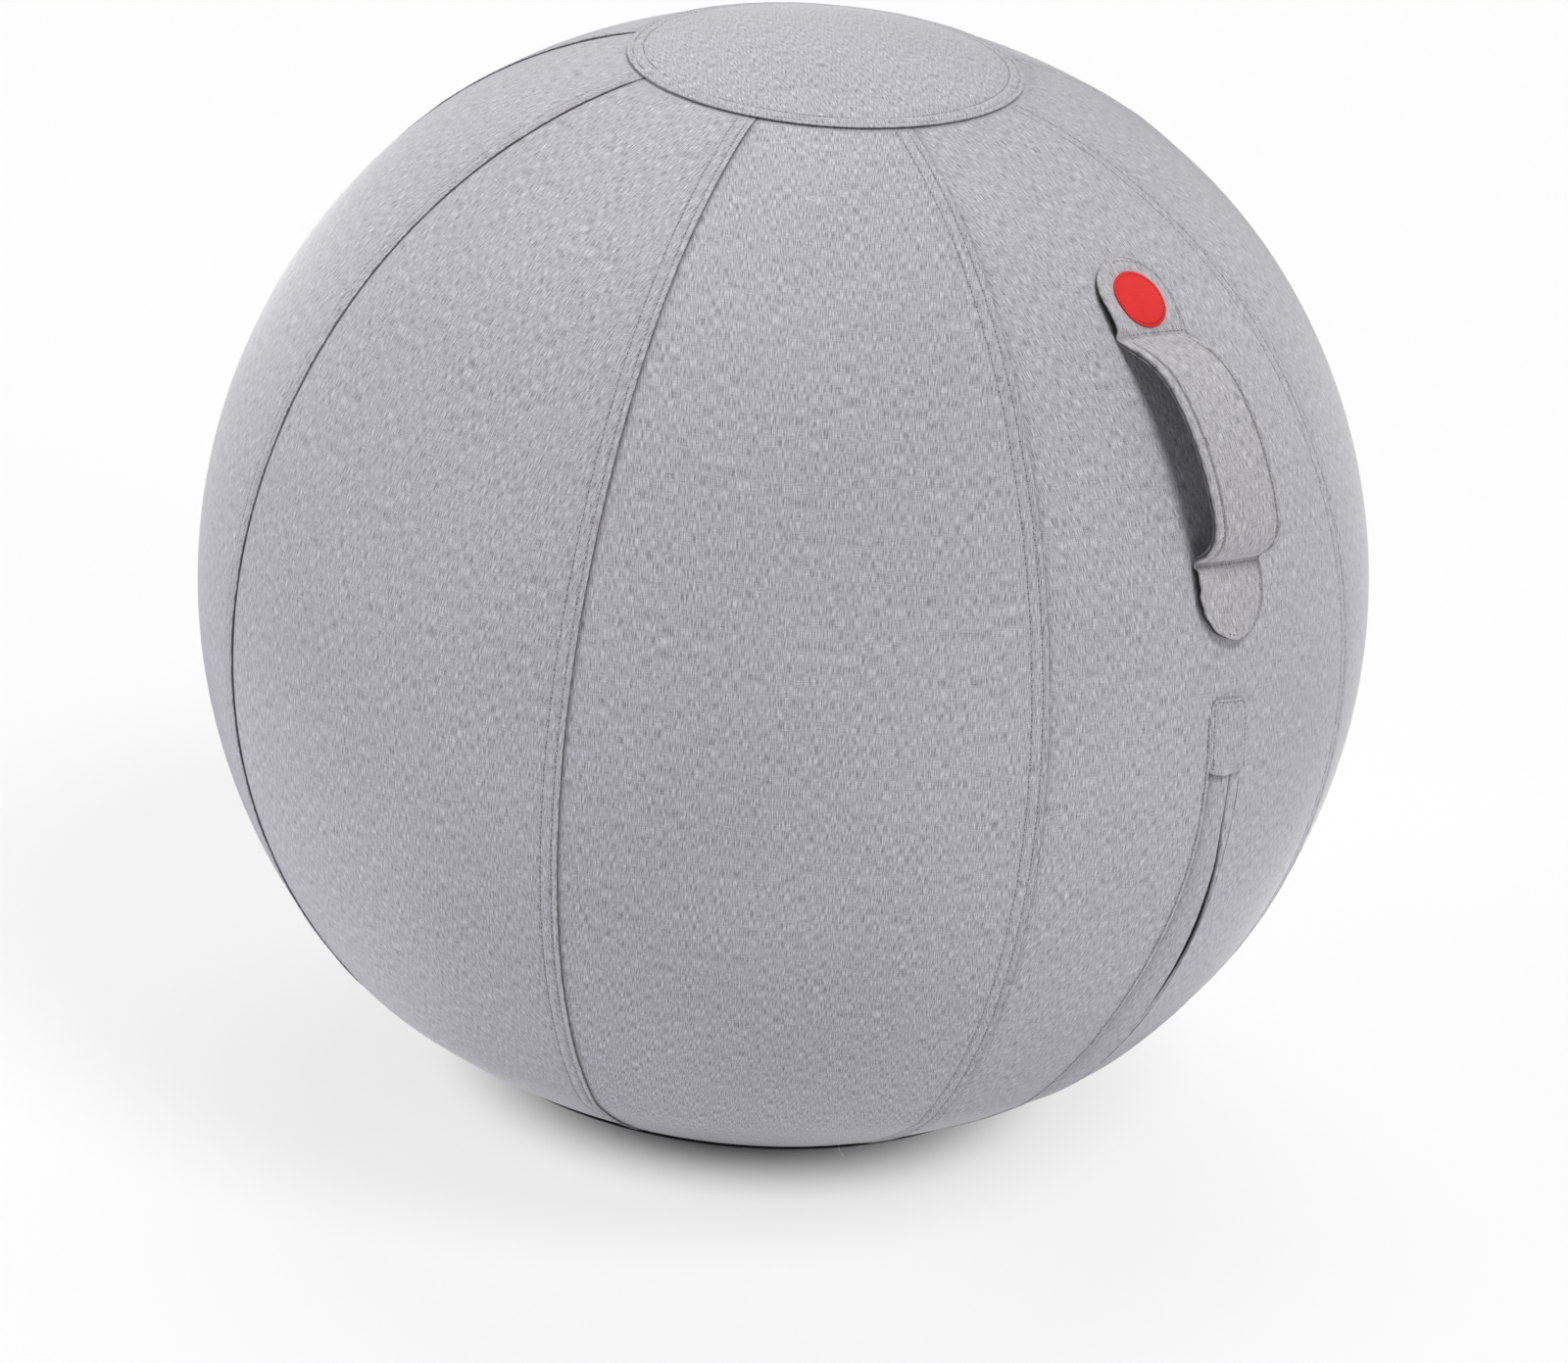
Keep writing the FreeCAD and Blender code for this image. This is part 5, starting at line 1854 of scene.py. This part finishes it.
@dataclass(frozen=True)
class SoftLamp:
    """One wide, far lamp. At level 1 it shows a white surface that faces it as white."""

    name: str
    azimuth: float
    elevation: float
    spread: float
    level: float

    def hang(self) -> None:
        """Puts the lamp in the scene."""
        data = bpy.data.lights.new(self.name, "SUN")
        data.energy = self.level * math.pi
        data.angle = math.radians(self.spread)
        turn = math.radians(self.azimuth)
        rise = math.radians(self.elevation)
        towards = Vector((math.cos(rise) * math.sin(turn), -math.cos(rise) * math.cos(turn), math.sin(rise)))
        lamp = bpy.data.objects.new(self.name, data)
        lamp.rotation_euler = towards.to_track_quat("Z", "Y").to_euler()
        bpy.context.scene.collection.objects.link(lamp)


@dataclass
class Studio:
    """Pale floor, soft lamps round the ball and a faint even surround that the camera sees as white."""

    floor_size: float = 14.0
    floor_drop: float = 0.0003
    surround_level: float = 0.07
    lamps: Tuple[SoftLamp, ...] = (
        SoftLamp("key_lamp", 0.0, 60.0, 20.0, 0.505),
        SoftLamp("low_key_lamp", 0.0, 25.0, 18.0, 0.155),
        SoftLamp("left_lamp", -142.0, 15.0, 40.0, 0.52),
        SoftLamp("back_lamp", 131.0, 60.0, 40.0, 0.435),
    )

    def build(self) -> None:
        """Makes the floor, the surround and the lamps."""
        bm = bmesh.new()
        bmesh.ops.create_grid(
            bm, x_segments=8, y_segments=8, size=self.floor_size / 2,
            matrix=Matrix.Translation((0.0, 0.0, -self.floor_drop)),
        )
        floor = make_piece(bm, "studio_floor", PaleFloor().make())
        self.surround()
        for lamp in self.lamps:
            lamp.hang()

    def surround(self) -> None:
        """Even surround, white to the camera."""
        world = bpy.data.worlds.new("studio_surround")
        world.use_nodes = True
        bpy.context.scene.world = world
        tree = world.node_tree
        path = tree.nodes.new("ShaderNodeLightPath")
        level = tree.nodes.new("ShaderNodeMapRange")
        level.inputs["To Min"].default_value = self.surround_level
        level.inputs["To Max"].default_value = 1.0
        tree.links.new(path.outputs["Is Camera Ray"], level.inputs["Value"])
        tree.links.new(level.outputs[0], tree.nodes["Background"].inputs["Strength"])
        tree.nodes["Background"].inputs["Color"].default_value = (1.0, 1.0, 1.0, 1.0)


@dataclass
class PhotoCamera:
    """Camera at the photograph's viewing angle, placed by where the ball's middle falls in a 1600 x 1391 picture."""

    outline: Outline
    distance: float = 3.5
    focal: float = 6407.28
    middle: Tuple[float, float] = (799.28, 590.54)
    size: Tuple[float, float] = (1600.0, 1391.0)
    elevation: float = 22.19
    roll: float = -4.78
    azimuth: float = -48.6
    sensor: float = 36.0

    def build(self) -> None:
        """Makes the camera and looks through it."""
        across = (self.middle[0] - self.size[0] / 2) / self.focal
        down = (self.middle[1] - self.size[1] / 2) / self.focal
        ray = Vector((across, -down, -1.0)).normalized()
        back = -ray
        right = Vector((0.0, 1.0, 0.0)).cross(back).normalized()
        up = back.cross(right)
        lean = math.radians(self.elevation)
        pole = up * math.cos(lean) + back * math.sin(lean)
        depth = pole.cross(right)
        basis = Matrix((right, depth, pole)).transposed()
        basis = Matrix.Rotation(math.radians(self.roll), 3, back) @ basis
        turn = Matrix.Rotation(math.radians(self.azimuth), 3, "Z")
        orientation = turn @ basis.transposed()
        position = orientation @ (-ray * self.distance) + Vector((0.0, 0.0, self.outline.centre_height))
        data = bpy.data.cameras.new("photo_camera")
        data.sensor_fit = "HORIZONTAL"
        data.sensor_width = self.sensor
        data.lens = self.focal * self.sensor / self.size[0]
        data.clip_end = 100.0
        camera = bpy.data.objects.new("photo_camera", data)
        camera.matrix_world = Matrix.Translation(position) @ orientation.to_4x4()
        bpy.context.scene.collection.objects.link(camera)
        bpy.context.scene.camera = camera


def build_cover(outline: Outline, layout: PlacketLayout, finishes: Finishes, stitching: Stitching) -> None:
    """Makes the gores, the top cap and the base, with their stitches."""
    names = ["front", "front_right", "right", "back_right", "back", "back_left", "left", "front_left"]
    for number, name in enumerate(names):
        gore = Gore("gore_" + name, number, outline, layout, has_placket=number == 0)
        gore.build(finishes.gore)
        gore.stitch(stitching, finishes.thread, finishes.needle)
    cap = TopCap(outline)
    cap.build(finishes.cap)
    cap.stitch(stitching, finishes.thread, finishes.needle)
    AntiSlipBase(outline).build(finishes.base)
    LooseThread(outline, "loose_thread_left", -28.0, 0.0045, 0.003).build(finishes.pale_thread)
    LooseThread(outline, "loose_thread_right", -23.2, 0.002, -0.0005).build(finishes.pale_thread)


def build_fittings(outline: Outline, layout: PlacketLayout, finishes: Finishes, stitching: Stitching) -> None:
    """Makes the placket, the handle and the badge, with their stitches."""
    placket = Placket(outline, layout)
    placket.build_fly(finishes.placket)
    placket.build_lip(finishes.gore)
    placket.build_garage(finishes.placket)
    placket.stitch(stitching, finishes.thread, finishes.needle)
    handle = Handle(outline)
    handle.build(finishes.strap)
    handle.stitch(stitching, finishes.thread, finishes.needle)
    badge = Badge(handle)
    badge.build(finishes.badge)
    badge.stitch(finishes.badge_thread)


def main() -> None:
    """Builds the ball, the studio and the camera, in order."""
    logging.basicConfig(level=logging.INFO, format="%(name)s: %(message)s")
    bpy.context.scene.view_settings.view_transform = "Standard"
    outline = Outline()
    layout = PlacketLayout()
    stitching = Stitching()
    finishes = Finishes.mixed()
    PhotoCamera(outline).build()
    build_cover(outline, layout, finishes, stitching)
    build_fittings(outline, layout, finishes, stitching)
    HiddenPieces(finishes).dress()
    Studio().build()


if __name__ == "__main__":
    main()
